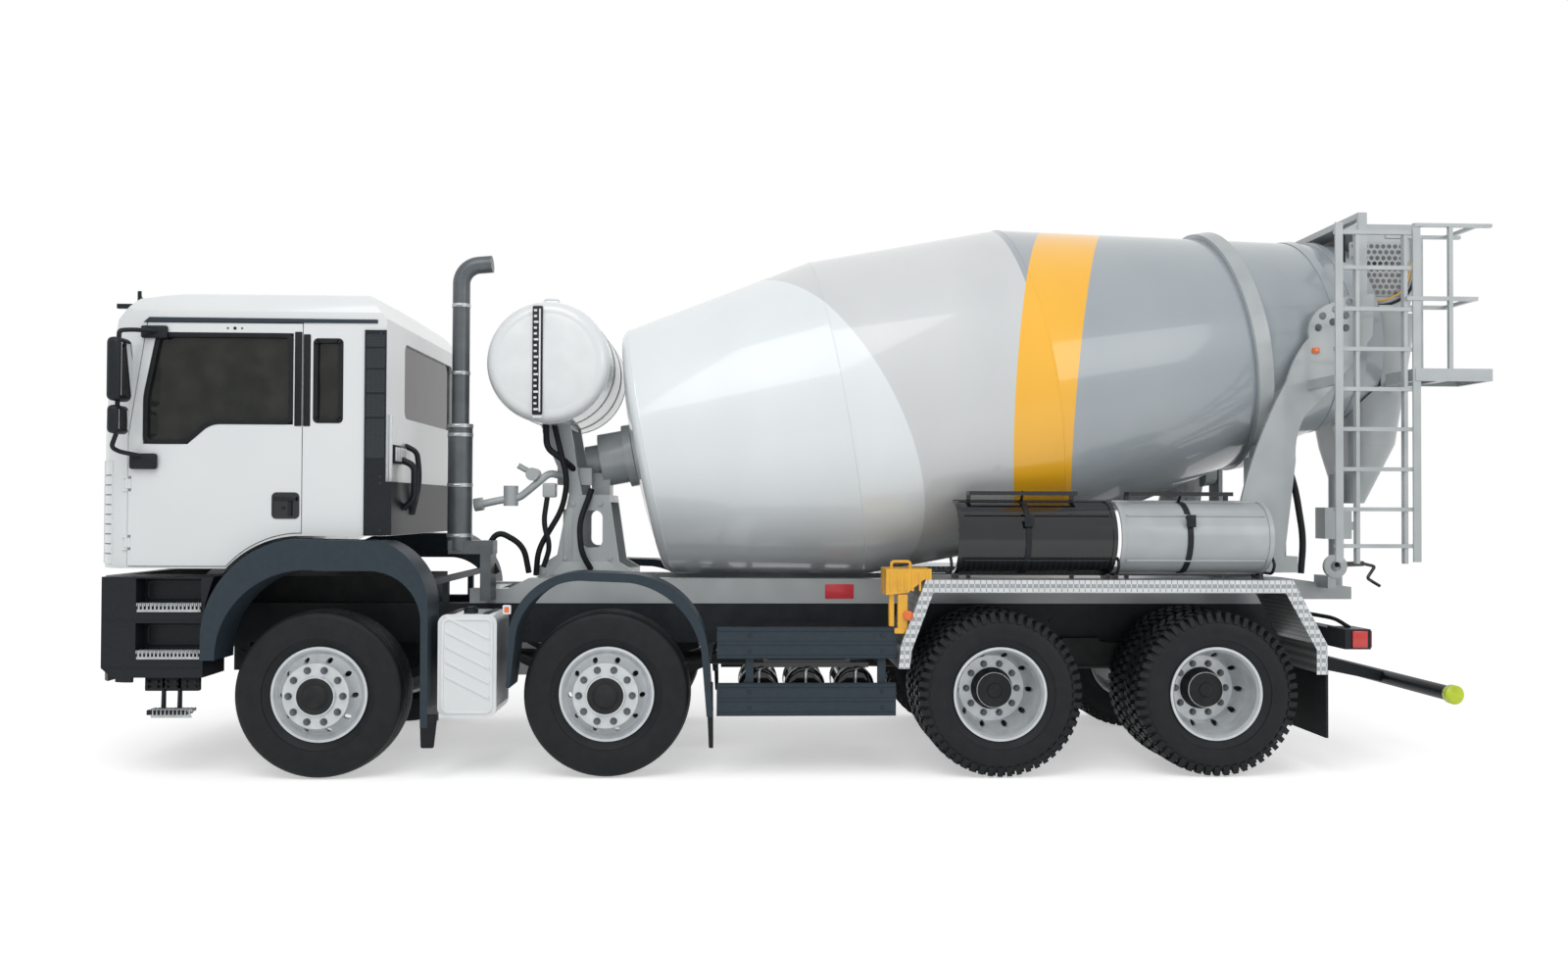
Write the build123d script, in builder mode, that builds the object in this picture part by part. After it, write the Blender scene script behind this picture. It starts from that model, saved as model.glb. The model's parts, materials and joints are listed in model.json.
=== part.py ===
import os
from math import cos, radians, sin, tan

from build123d import *

os.makedirs("parts", exist_ok=True)

# Four-axle cab-over truck with a rotating concrete drum. Lengths are in millimetres.
# X runs from the front of the truck to its rear, the left side is -Y and the ground is Z = 0.
# "run" is a distance behind the first axle.
front_axle_x = -3025.0
seat_gap = 0.3
move_gap = 6.0

# running gear
first_axle_run = 0.0
second_axle_run = 1795.0
third_axle_run = 4300.0
fourth_axle_run = 5700.0
tyre_radius = 530.0
tyre_half_width = 156.0
tread_half_width = 128.0
bead_radius = 290.0
steered_track_y = 1033.0
outer_twin_y = 1074.0
inner_twin_y = 730.0
king_pin_y = 915.0

# frame
tilt_run = -1280.0
tilt_z = 1000.0
tilt_pin_radius = 20.0
tilt_lug_y = 306.0
tilt_arm_run = -890.0
rail_y = 435.0
rail_bottom = 780.0
rail_top = 1050.0
rail_web = 10.0
rail_flange = 85.0
subframe_top = 1222.0
frame_front_run = -1250.0
frame_rear_run = 6480.0

# cab
cab_half_width = 1120.0
cab_wall = 60.0
cab_front_run = -1460.0
cab_back_run = 392.0
cab_floor_z = 1318.0
cab_arch_z = 1525.0
belt_z = 2010.0
gutter_z = 2885.0
roof_z = 3090.0
door_front_run = -1212.0
door_back_run = -135.0
door_bottom_z = 1334.0
door_top_z = 2866.0

# drum, with stations along its tilted axis counted from the front head
drum_tilt = 10.43
drum_head_run = 1956.0
drum_head_z = 2111.0
drum_wall = 14.0
head_radius = 883.0
belly_radius = 1149.0
mouth_radius = 630.0
belly_start = 1390.0
belly_end = 2759.0
mouth_station = 5216.0
ring_station = 4253.0
ring_radius = 880.0
ring_width = 100.0
head_bulge = 84.0
roller_radius = 140.0
roller_angle = 33.0

# overall
bumper_front_run = -1465.0
rear_end_run = 7515.0
guard_half_width = 1250.0


def side(y):
    return Plane(origin=(front_axle_x, y, 0), x_dir=(1, 0, 0), z_dir=(0, -1, 0))


def at(run, y, z):
    return Location((front_axle_x + run, y, z))


def flat(z):
    return Plane(origin=(front_axle_x, 0, z), x_dir=(1, 0, 0), z_dir=(0, 0, 1))


def across(run):
    return Plane(origin=(front_axle_x + run, 0, 0), x_dir=(0, 1, 0), z_dir=(1, 0, 0))


drum_origin = (front_axle_x + drum_head_run, 0, drum_head_z)
drum_direction = (cos(radians(drum_tilt)), 0, sin(radians(drum_tilt)))
drum_plane = Plane(origin=drum_origin, x_dir=drum_direction, z_dir=(0, -1, 0))
drum_axis = Axis(drum_origin, drum_direction)


def drum_radius(station):
    share = (station - belly_end) / (mouth_station - belly_end)
    return belly_radius + (mouth_radius - belly_radius) * share


# frame rails, joined by their cross-members
cross_member_runs = [-1150.0, 800.0, 2500.0, 3500.0, 5000.0, 6400.0]

with BuildPart() as frame_rails:
    for hand in (-1, 1):
        inner = rail_y - rail_flange
        with BuildSketch(across(frame_front_run)):
            with BuildLine():
                Polyline(
                    (hand * rail_y, rail_bottom),
                    (hand * inner, rail_bottom),
                    (hand * inner, rail_bottom + rail_web),
                    (hand * (rail_y - rail_web), rail_bottom + rail_web),
                    (hand * (rail_y - rail_web), rail_top - rail_web),
                    (hand * inner, rail_top - rail_web),
                    (hand * inner, rail_top),
                    (hand * rail_y, rail_top),
                    close=True,
                )
            make_face()
        extrude(amount=frame_rear_run - frame_front_run)
    for run in cross_member_runs:
        with Locations(at(run, 0, (rail_bottom + rail_top) / 2)):
            Box(90, 2 * (rail_y - rail_web), 160)
    # cab tilt pin in its brackets
    with Locations(at(tilt_run + 8, -390, tilt_z), at(tilt_run + 8, 390, tilt_z)):
        Box(70, 80, 80)
    with BuildSketch(side(390)):
        with Locations((tilt_run, tilt_z)):
            Circle(tilt_pin_radius)
    extrude(amount=780)
frame_rails.part.label = "frame_rails"
export_step(frame_rails.part, "parts/frame_rails.step")

# mixer subframe on the frame
subframe_y = 385.0
subframe_width = 110.0
subframe_front_run = 780.0

with BuildPart() as mixer_subframe:
    for hand in (-1, 1):
        with BuildSketch(side(hand * subframe_y)):
            with BuildLine():
                Polyline(
                    (subframe_front_run, rail_top),
                    (frame_rear_run, rail_top),
                    (frame_rear_run, subframe_top),
                    (1180, subframe_top),
                    (1040, 1150),
                    (subframe_front_run, 1150),
                    close=True,
                )
            make_face()
        extrude(amount=subframe_width / 2, both=True)
    for run in (900.0, 2300.0, 3200.0, 4100.0, 5000.0):
        with Locations(at(run, 0, (rail_top + 1140) / 2)):
            Box(100, 2 * subframe_y, 1140 - rail_top)
mixer_subframe.part.label = "mixer_subframe"
export_step(mixer_subframe.part, "parts/mixer_subframe.step")

# engine as one plain block between the rails
with BuildPart() as engine_block:
    with Locations(at(-200, 0, 905)):
        Box(1300, 2 * (rail_y - rail_flange) - 20, 650)
    with Locations(at(100, 0, 900)):
        Box(120, 2 * (rail_y - rail_web), 100)
engine_block.part.label = "engine_block"
export_step(engine_block.part, "parts/engine_block.step")

# bumper with the step boxes below the doors
bumper_top = 1268.0
bumper_bottom = 610.0
step_back_run = -712.0

with BuildPart() as front_bumper:
    with BuildSketch(flat(bumper_bottom)):
        with BuildLine():
            front = bumper_front_run
            ThreePointArc((front + 60, -860), (front, 0), (front + 60, 860))
            ThreePointArc((front + 60, 860), (front + 140, 1105), (front + 320, 1175))
            Line((front + 320, 1175), (front + 320, -1175))
            ThreePointArc((front + 320, -1175), (front + 140, -1105), (front + 60, -860))
        make_face()
    extrude(amount=bumper_top - bumper_bottom)
    with BuildSketch(side(0)):
        with BuildLine():
            Polyline(
                (bumper_front_run - 20, bumper_top - 90),
                (bumper_front_run + 90, bumper_top + 20),
                (bumper_front_run - 20, bumper_top + 20),
                close=True,
            )
        make_face()
    extrude(amount=1300, both=True, mode=Mode.SUBTRACT)
    with BuildSketch(flat(bumper_bottom - 10)):
        with Locations((bumper_front_run + 260, 0)):
            Rectangle(240, 2300)
    extrude(amount=1000, mode=Mode.SUBTRACT)
    bracket_front = bumper_front_run + 120
    bracket_back = cross_member_runs[0] - 45
    with Locations(at((bracket_front + bracket_back) / 2, 0, 830)):
        Box(bracket_back - bracket_front, 2 * rail_y - 300, 160)
    for hand in (-1, 1):
        with BuildSketch(side(hand * 1175)):
            with BuildLine():
                Polyline(
                    (front + 130, bumper_top),
                    (step_back_run + 62, bumper_top),
                    (step_back_run + 10, 1100),
                    (step_back_run, 900),
                    (step_back_run, 640),
                    (front + 200, bumper_bottom + 30),
                    (front + 130, bumper_bottom + 90),
                    close=True,
                )
            make_face()
        extrude(amount=hand * 330)
        with Locations(at(-925, hand * 1130, 1170), at(-925, hand * 1130, 890)):
            Box(400, 160, 180, mode=Mode.SUBTRACT)
        with Locations(at(-915, hand * 1120, 1085), at(-925, hand * 1120, 790)):
            Box(400, 110, 24)
        with Locations(at(-1000, hand * 1050, 520)):
            Box(16, 20, 240)
        with Locations(at(-900, hand * 1050, 520)):
            Box(16, 20, 240)
        with Locations(at(-950, hand * 1080, 415)):
            Box(250, 90, 30)
front_bumper.part.label = "front_bumper"
export_step(front_bumper.part, "parts/front_bumper.step")

# plastic arches over the steered wheels, carried by cross tubes
arch_depth = 300.0

with BuildPart() as wheel_arches:
    for hand in (-1, 1):
        with BuildSketch(side(hand * guard_half_width)):
            with BuildLine():
                Line((-700, 755), (-700, 870))
                ThreePointArc((-700, 870), (-590, 1240), (-166, 1506))
                Line((-166, 1506), (412, 1496))
                ThreePointArc((412, 1496), (618, 1330), (692, 1076))
                Polyline((692, 1076), (696, 336), (650, 336), (648, 1000))
                ThreePointArc((648, 1000), (555, 1215), (330, 1310))
                Line((330, 1310), (10, 1310))
                ThreePointArc((10, 1310), (-430, 1175), (-612, 755))
                Line((-612, 755), (-700, 755))
            make_face()
            with BuildLine():
                Line((1178, 582), (1186, 860))
                ThreePointArc((1186, 860), (1330, 1190), (1673, 1304))
                Line((1673, 1304), (1960, 1296))
                ThreePointArc((1960, 1296), (2290, 1135), (2440, 800))
                Polyline((2440, 800), (2468, 400), (2430, 400), (2396, 800))
                ThreePointArc((2396, 800), (2240, 1095), (1940, 1240))
                Line((1940, 1240), (1673, 1250))
                ThreePointArc((1673, 1250), (1366, 1150), (1232, 860))
                Polyline((1232, 860), (1200, 582), (1178, 582))
            make_face()
        extrude(amount=hand * arch_depth)
    with Locations(at(610, 0, 1215), at(2436, 0, rail_bottom - 20)):
        Box(40, 2 * guard_half_width - 100, 40)
    for hand in (-1, 1):
        with Locations(at(610, hand * 400, (rail_top + 1215) / 2)):
            Box(40, 40, 1215 - rail_top)
wheel_arches.part.label = "wheel_arches"
export_step(wheel_arches.part, "parts/wheel_arches.step")

# tandem mudguards in tread plate, carried by cross tubes over the frame
mudguard_top = 1262.0
mudguard_outer = [
    (3640, 700), (3655, 850), (3813, mudguard_top), (6179, mudguard_top), (6400, 850), (6400, 660),
]
mudguard_inner = [(6372, 660), (6372, 845), (6160, 1236), (3832, 1236), (3683, 845), (3668, 700)]

with BuildPart() as rear_mudguards:
    for hand in (-1, 1):
        with BuildSketch(side(hand * guard_half_width)):
            with BuildLine():
                Polyline(*mudguard_outer, *mudguard_inner, close=True)
            make_face()
        extrude(amount=hand * 660)
        with BuildSketch(side(hand * guard_half_width)):
            with BuildLine():
                Polyline(
                    (3640, 700), (3655, 850), (3813, mudguard_top), (6179, mudguard_top),
                    (6400, 850), (6400, 660), (6330, 660), (6330, 820), (6130, 1180),
                    (3860, 1180), (3725, 820), (3710, 700), close=True,
                )
            make_face()
        extrude(amount=hand * 5)
    with Locations(at(4980, 0, (subframe_top + mudguard_top) / 2)):
        Box(60, 2 * 1240, mudguard_top - subframe_top)
rear_mudguards.part.label = "rear_mudguards"
export_step(rear_mudguards.part, "parts/rear_mudguards.step")

# rubber flaps behind the tandem, on a carrier across the frame's end
flap_run = 6400.0
with BuildPart() as rear_mudflaps:
    for hand in (-1, 1):
        with Locations(at(flap_run + 8, hand * 905, 490)):
            Box(16, 640, 480)
    with Locations(at(flap_run + 8, 0, 745)):
        Box(16, 2 * 1225, 60)
rear_mudflaps.part.label = "rear_mudflaps"
export_step(rear_mudflaps.part, "parts/rear_mudflaps.step")

# side guards on brackets that hang under the frame
guard_rails = [(759.0, 958.0), (399.0, 605.0)]  # bottom, top
guard_front_run = 2492.0
guard_back_run = 3628.0

with BuildPart() as side_guards:
    for hand in (-1, 1):
        for bottom, top in guard_rails:
            with Locations(at((guard_front_run + guard_back_run) / 2, hand * 1200, (bottom + top) / 2)):
                Box(guard_back_run - guard_front_run, 30, top - bottom)
        for run in (2700.0, 3540.0):
            with Locations(at(run, hand * 1165, 670)):
                Box(50, 40, 520)
    for run in (2700.0, 3540.0):
        with Locations(at(run, 0, rail_bottom - 30)):
            Box(50, 2 * 1165, 60)
side_guards.part.label = "side_guards"
export_step(side_guards.part, "parts/side_guards.step")

# side tanks with a ribbed front, hung from the frame between the steered axles
tank_front_run = 745.0
tank_back_run = 1111.0
with BuildPart() as side_tanks:
    for hand in (-1, 1):
        with BuildSketch(side(hand * 1200)):
            with Locations(((tank_front_run + tank_back_run) / 2, 716)):
                RectangleRounded(tank_back_run - tank_front_run, 645, 60)
        extrude(amount=hand * 420)
    with Locations(at((tank_front_run + tank_back_run) / 2, 0, rail_bottom - 30)):
        Box(110, 2 * 900, 60)
side_tanks.part.label = "side_tanks"
export_step(side_tanks.part, "parts/side_tanks.step")

# compressed-air tanks and the battery box inside the left side guard
with BuildPart() as air_tanks:
    air_tank_runs = [2760.0, 3060.0, 3380.0]
    for run in air_tank_runs:
        with BuildSketch(side(-1080)):
            with Locations((run, 560)):
                Circle(128)
        extrude(amount=-560)
    fillet(air_tanks.edges().filter_by(GeomType.CIRCLE), 45)
    with Locations(at(3070, -800, 700)):
        Box(800, 500, 30)
    with Locations(at(3070, -800, 700 + 15 + 110)):
        Box(560, 460, 220)
    with Locations(at(3070, -(rail_y + 575) / 2, 800)):
        Box(300, 575 - rail_y, 60)
air_tanks.part.label = "air_tanks"
export_step(air_tanks.part, "parts/air_tanks.step")

# exhaust stack behind the cab
stack_run = 735.0
stack_y = -560.0
with BuildPart() as exhaust_stack:
    with BuildLine(side(stack_y)):
        l1 = Line((stack_run, 1500), (stack_run, 3230))
        l2 = JernArc(start=l1 @ 1, tangent=l1 % 1, radius=130, arc_size=-85)
        Line(l2 @ 1, (l2 @ 1) + (l2 % 1) * 90)
    with BuildSketch(Plane(origin=(front_axle_x + stack_run, stack_y, 1500), z_dir=(0, 0, 1))):
        Circle(58)
    sweep()
    with BuildSketch(flat(1420)):
        with Locations((stack_run, stack_y)):
            Circle(82)
    extrude(amount=850)
    with Locations(at(stack_run + 90, stack_y, 1440)):
        Box(300, 150, 90)
    with Locations(at(stack_run + 190, -(subframe_y + subframe_width / 2 + 100), 1260)):
        Box(70, 200, 360)
exhaust_stack.part.label = "exhaust_stack"
export_step(exhaust_stack.part, "parts/exhaust_stack.step")

# water tank across the truck
water_z = 2690.0
water_radius = 410.0
water_gap = 89.0
drum_shoulder = drum_head_run + 40 - head_radius * sin(radians(drum_tilt))
water_run = drum_shoulder - water_gap - water_radius
with BuildPart() as water_tank:
    with BuildSketch(side(700)):
        with Locations((water_run, water_z)):
            Circle(water_radius)
    extrude(amount=1400)
    fillet(water_tank.edges().filter_by(GeomType.CIRCLE), 70)
    with Locations(at(water_run - 60, -690, water_z)):
        Box(60, 60, 760)
water_tank.part.label = "water_tank"
export_step(water_tank.part, "parts/water_tank.step")

# front pedestal under the drum gearbox, with the water tank's saddle on posts
gearbox_front = -430.0
gearbox_face = -head_bulge - 1.0
with BuildPart() as front_pedestal:
    with BuildSketch(side(0)):
        with BuildLine():
            Polyline(
                (1232, subframe_top), (1889, subframe_top), (1889, 1270), (1790, 1330),
                (1720, 1800), (1440, 1800), (1360, 1380), (1232, 1300), close=True,
            )
        make_face()
    extrude(amount=330, both=True)
    with Locations(at(1560, 0, 1510)):
        Box(900, 580, 480, mode=Mode.SUBTRACT)
    with BuildSketch(side(0)):
        with Locations((1600, 1560)):
            RectangleRounded(150, 260, 50)
    extrude(amount=400, both=True, mode=Mode.SUBTRACT)
    for hand in (-1, 1):
        with BuildSketch(side(hand * 300)):
            with BuildLine():
                Polyline(
                    (1445, 1790), (1530, 1790), (water_run + 84, 2420), (water_run - 86, 2420),
                    (water_run - 86, 2240), close=True,
                )
            make_face()
        extrude(amount=15, both=True)
    with Locations(at(water_run, 0, 2300)):
        Box(190, 600, 60)
    with BuildSketch(side(0)):
        with Locations((water_run, water_z)):
            Circle(water_radius + seat_gap)
    extrude(amount=500, both=True, mode=Mode.SUBTRACT)
front_pedestal.part.label = "front_pedestal"
export_step(front_pedestal.part, "parts/front_pedestal.step")

# drum gearbox and its hydraulic motor
with BuildPart() as drum_gearbox:
    with BuildSketch(drum_plane):
        with BuildLine():
            Polyline(
                (gearbox_face, 0), (gearbox_face, 225), (gearbox_face - 60, 225),
                (gearbox_face - 60, 190), (gearbox_face - 240, 190), (gearbox_face - 240, 120),
                (gearbox_front, 120), (gearbox_front, 0), close=True,
            )
        make_face()
    revolve(axis=drum_axis)
    with Locations(at(1640, 0, 1880)):
        Box(130, 240, 160)
    with Locations(at(1470, -190, 1930)):
        Box(240, 150, 120)
drum_gearbox.part.label = "drum_gearbox"
export_step(drum_gearbox.part, "parts/drum_gearbox.step")

def dish(pole, rim, rim_radius):
    depth = rim - pole
    sphere = (rim_radius**2 + depth**2) / (2 * depth)
    return pole + sphere - (sphere**2 - 420**2) ** 0.5


# drum shell, hollow and open at its mouth
with BuildPart() as drum_shell:
    with BuildSketch(drum_plane):
        with BuildLine():
            ThreePointArc((-head_bulge, 0), (dish(-head_bulge, -15, 820), 420), (-15, 820))
            ThreePointArc((-15, 820), (2, 862), (40, head_radius + 8))
            Line((40, head_radius + 8), (belly_start, belly_radius))
            Line((belly_start, belly_radius), (belly_end, belly_radius))
            Line((belly_end, belly_radius), (mouth_station, mouth_radius))
            Line((mouth_station, mouth_radius), (mouth_station, mouth_radius - drum_wall))
            Line((mouth_station, mouth_radius - drum_wall), (belly_end, belly_radius - drum_wall))
            Line((belly_end, belly_radius - drum_wall), (belly_start, belly_radius - drum_wall))
            Line((belly_start, belly_radius - drum_wall), (60, head_radius - 10))
            Line((60, head_radius - 10), (10, 815))
            ThreePointArc((10, 815), (dish(20 - head_bulge, 10, 815), 420), (20 - head_bulge, 0))
            Line((20 - head_bulge, 0), (-head_bulge, 0))
        make_face()
    revolve(axis=drum_axis)
drum_shell.part.label = "drum_shell"
export_step(drum_shell.part, "parts/drum_shell.step")

# roller ring round the drum's rear cone
with BuildPart() as roller_ring:
    with BuildSketch(drum_plane):
        with BuildLine():
            low = ring_station - ring_width / 2
            high = ring_station + ring_width / 2
            Polyline(
                (low, drum_radius(low) + seat_gap), (low, ring_radius), (high, ring_radius),
                (high, drum_radius(high) + seat_gap), close=True,
            )
        make_face()
    revolve(axis=drum_axis)
roller_ring.part.label = "roller_ring"
export_step(roller_ring.part, "parts/roller_ring.step")

# rear pedestal: two curved plates on a base beam, with the roller brackets
plate_y = 812.0
plate_thickness = 24.0
plate_holes = [
    (6550, 2950), (6580, 3030), (6650, 2990), (6670, 3075), (6740, 3035), (6765, 3125), (6740, 2950),
]
roller_reach = ring_radius + roller_radius + 0.5
roller_drop = roller_reach * cos(radians(roller_angle))
ring_run = drum_head_run + ring_station * cos(radians(drum_tilt))
ring_z = drum_head_z + ring_station * sin(radians(drum_tilt))
roller_run = ring_run + roller_drop * sin(radians(drum_tilt))
roller_y = roller_reach * sin(radians(roller_angle))
roller_z = ring_z - roller_drop * cos(radians(drum_tilt))
with BuildPart() as rear_pedestal:
    with Locations(at(6040, 0, (subframe_top + 1400) / 2)):
        Box(420, 2 * (subframe_y + 55), 1400 - subframe_top)
    with Locations(at(6120, 0, 1345)):
        Box(580, 2 * plate_y, 110)
    for hand in (-1, 1):
        with BuildSketch(side(hand * plate_y)):
            with BuildLine():
                l1 = Line((5790, 1290), (6010, 1748))
                l2 = ThreePointArc(l1 @ 1, (6169, 2249), (6330, 2585))
                l3 = ThreePointArc(l2 @ 1, (6390, 2740), (6485, 2880))
                l4 = ThreePointArc(l3 @ 1, (6510, 3020), (6620, 3110))
                head = Polyline(l4 @ 1, (6790, 3185), (6935, 3185), (6925, 2900))
                l5 = ThreePointArc(head @ 1, (6700, 2610), (6460, 2360))
                l6 = ThreePointArc(l5 @ 1, (6400, 2200), (6392, 2050))
                l7 = Line(l6 @ 1, (6300, 1290))
                Line(l7 @ 1, l1 @ 0)
            make_face()
        extrude(amount=plate_thickness / 2, both=True)
        with BuildSketch(side(hand * plate_y)):
            with Locations(*plate_holes):
                Circle(26)
        extrude(amount=plate_thickness, both=True, mode=Mode.SUBTRACT)
    for hand in (-1, 1):
        for reach in (-92, 92):
            with Locations(at(roller_run + reach, hand * roller_y, (1350 + roller_z + 40) / 2)):
                Box(30, 200, roller_z + 40 - 1350)
        roller_origin = (front_axle_x + roller_run, hand * roller_y, roller_z)
        with BuildSketch(Plane(origin=roller_origin, z_dir=drum_direction)):
            Circle(roller_radius)
        extrude(amount=45, both=True)
        with BuildSketch(Plane(origin=roller_origin, z_dir=drum_direction)):
            Circle(34)
        extrude(amount=90, both=True)
rear_pedestal.part.label = "rear_pedestal"
export_step(rear_pedestal.part, "parts/rear_pedestal.step")

# charge hopper above the drum's mouth, open on top, at its foot and towards the drum
hopper_top = 3750.0
leg_foot_z = 2800.0
hopper_outline = [
    (6850, hopper_top), (7466, hopper_top), (7466, 3400), (7380, 3112), (7092, 3112), (7050, 3590),
    (7000, 3700), (6850, 3706),
]
hopper_inside = [
    (6860, hopper_top + 10), (7456, hopper_top + 10), (7456, 3401), (7368, 3105), (7030, 3105), (7030, 3580),
    (7062, 3580), (7008, 3712), (6860, 3717),
]
with BuildPart() as charge_hopper:
    for outline, half, mode in ((hopper_outline, 440, Mode.ADD), (hopper_inside, 430, Mode.SUBTRACT)):
        with BuildSketch(side(0)):
            with BuildLine():
                Polyline(*outline, close=True)
            make_face()
        extrude(amount=half, both=True, mode=mode)
    # legs that stand on the rear pedestal's plates
    for hand in (-1, 1):
        leg_y = plate_y - plate_thickness
        with Locations(at(6870, hand * (435 + leg_y) / 2, hopper_top - 25)):
            Box(60, leg_y - 435 + 24, 40)
        with Locations(at(6870, hand * leg_y, (leg_foot_z + hopper_top - 5) / 2)):
            Box(60, plate_thickness, hopper_top - 5 - leg_foot_z)
charge_hopper.part.label = "charge_hopper"
export_step(charge_hopper.part, "parts/charge_hopper.step")

# discharge hood round the drum's mouth, with its column down to the frame
# columns: z, front run, back run, half width, corner radius
hood_sections = [
    (3100.0, 6960.0, 7466.0, 560.0, 210.0),
    (2190.0, 7060.0, 7392.0, 350.0, 140.0),
    (1765.0, 7120.0, 7245.0, 130.0, 55.0),
]
with BuildPart() as discharge_hood:
    for thickness, mode in ((0, Mode.ADD), (8, Mode.SUBTRACT)):
        for upper, lower in (hood_sections[0:2], hood_sections[1:3]):
            for z, front, back, half, corner in (upper, lower):
                lift = thickness if z == 3100.0 else (-thickness if z == 1765.0 else 0)
                with BuildSketch(flat(z + lift)):
                    with Locations(((front + back) / 2, 0)):
                        RectangleRounded(
                            back - front - 2 * thickness, 2 * half - 2 * thickness, corner - thickness
                        )
            loft(ruled=True, mode=mode)
    with BuildSketch(drum_plane):
        with BuildLine():
            Polyline(
                (mouth_station - 700, 0), (mouth_station - 700, mouth_radius + 163),
                (mouth_station, mouth_radius + 15), (mouth_station + 15, mouth_radius + 15),
                (mouth_station + 15, 0), close=True,
            )
        make_face()
    revolve(axis=drum_axis, mode=Mode.SUBTRACT)
    with BuildSketch(side(0)):
        with BuildLine():
            Polyline((6480, 1060), (7130, 1060), (7130, 1150), (6600, 1222), (6480, 1222), close=True)
        make_face()
    extrude(amount=120, both=True)
    with BuildSketch(flat(1080)):
        with Locations((7070, 0)):
            Circle(48)
    extrude(amount=900)
    for hand in (-1, 1):
        with Locations(at(7245, hand * 510, 2595)):
            Box(70, 180, 60)
    # swing gear beside the column, its bracket and the eye of the chute's brace
    with Locations(at(6930, -255, 1620)):
        Box(195, 150, 225)
    with Locations(at(7030, -120, 1600)):
        Box(120, 240, 60)
    with BuildSketch(side(-270)):
        with Locations((6925, 1309)):
            Circle(84)
            Circle(38, mode=Mode.SUBTRACT)
    extrude(amount=30)
    with Locations(at(6900, -185, 1195)):
        Box(60, 215, 90)
discharge_hood.part.label = "discharge_hood"
export_step(discharge_hood.part, "parts/discharge_hood.step")

# ladder on the left with rails and a platform at its top
ladder_y = -1200.0
rung_heights = [1482.0, 1720.0, 1980.0, 2240.0, 2500.0, 2760.0, 3020.0, 3290.0, 3520.0]
with BuildPart() as rear_ladder:
    for run in (6504.0, 7017.0):
        with Locations(at(run, ladder_y, (1379 + 3579) / 2)):
            Box(50, 14, 3579 - 1379)
    for run in (6634.0, 6953.0):
        with Locations(at(run, ladder_y + 30, (1367 + 3520) / 2)):
            Box(24, 40, 3520 - 1367)
    for z in rung_heights:
        with Locations(at(6760, ladder_y + 16, z)):
            Box(560, 24, 26)
    for y in (ladder_y, -850.0):
        with Locations(at((7000 + rear_end_run) / 2, y, 3568)):
            Box(rear_end_run - 7000, 30, 22)
        with Locations(at((6950 + 7420) / 2, y, 3090)):
            Box(470, 26, 26)
        with Locations(at(7241, y, (2600 + 3568) / 2)):
            Box(26, 26, 968)
    with Locations(at(rear_end_run - 100, (ladder_y - 850) / 2, 3568), at(7408, (ladder_y - 850) / 2, 3090)):
        Box(26, ladder_y * -1 - 850 + 26, 22)
    with Locations(at(7017, (ladder_y - 850) / 2, 2595), at(rear_end_run - 13, (ladder_y - 850) / 2, 2595)):
        Box(26, ladder_y * -1 - 850 + 26, 80)
    with Locations(at(7260, (ladder_y - 850) / 2, 2625)):
        Box(500, ladder_y * -1 - 850, 20)
    for y in (ladder_y, -850.0):
        with Locations(at(7266, y, 2595)):
            Box(rear_end_run - 7017, 26, 80)
    with Locations(at(7250, (ladder_y - 600) / 2, 2595)):
        Box(60, -ladder_y - 600, 60)
    plate_face = -(plate_y + plate_thickness / 2)
    with Locations(at(6504, (ladder_y + plate_face) / 2, 2560)):
        Box(60, plate_face - ladder_y, 60)
rear_ladder.part.label = "rear_ladder"
export_step(rear_ladder.part, "parts/rear_ladder.step")

# spare chutes on the left mudguard: half pipes with flared mouths
chute_radius = 228.0
chute_wall = 8.0
band_height = 8.0
chute_z = 1530.0
chute_y = -1000.0
for label, front, back in (("black_chute", 4026.0, 5050.0), ("grey_chute", 5075.0, 6066.0)):
    with BuildPart() as chute:
        with BuildSketch(across(front)):
            with BuildLine():
                outer, inner = chute_radius, chute_radius - chute_wall
                ThreePointArc((chute_y, chute_z + outer), (chute_y - outer, chute_z), (chute_y, chute_z - outer))
                Line((chute_y, chute_z - outer), (chute_y, chute_z - inner))
                ThreePointArc((chute_y, chute_z - inner), (chute_y - inner, chute_z), (chute_y, chute_z + inner))
                Line((chute_y, chute_z + inner), (chute_y, chute_z + outer))
            make_face()
        extrude(amount=back - front)
        for run in (front + 15, back - 15):
            with BuildSketch(across(run - 14)):
                with BuildLine():
                    band = chute_radius + band_height
                    ThreePointArc((chute_y, chute_z + band), (chute_y - band, chute_z), (chute_y, chute_z - band))
                    Line((chute_y, chute_z - band), (chute_y, chute_z - inner))
                    ThreePointArc(
                        (chute_y, chute_z - inner), (chute_y - inner, chute_z), (chute_y, chute_z + inner)
                    )
                    Line((chute_y, chute_z + inner), (chute_y, chute_z + band))
                make_face()
            extrude(amount=28)
    chute.part.label = label
    export_step(chute.part, f"parts/{label}.step")

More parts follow.
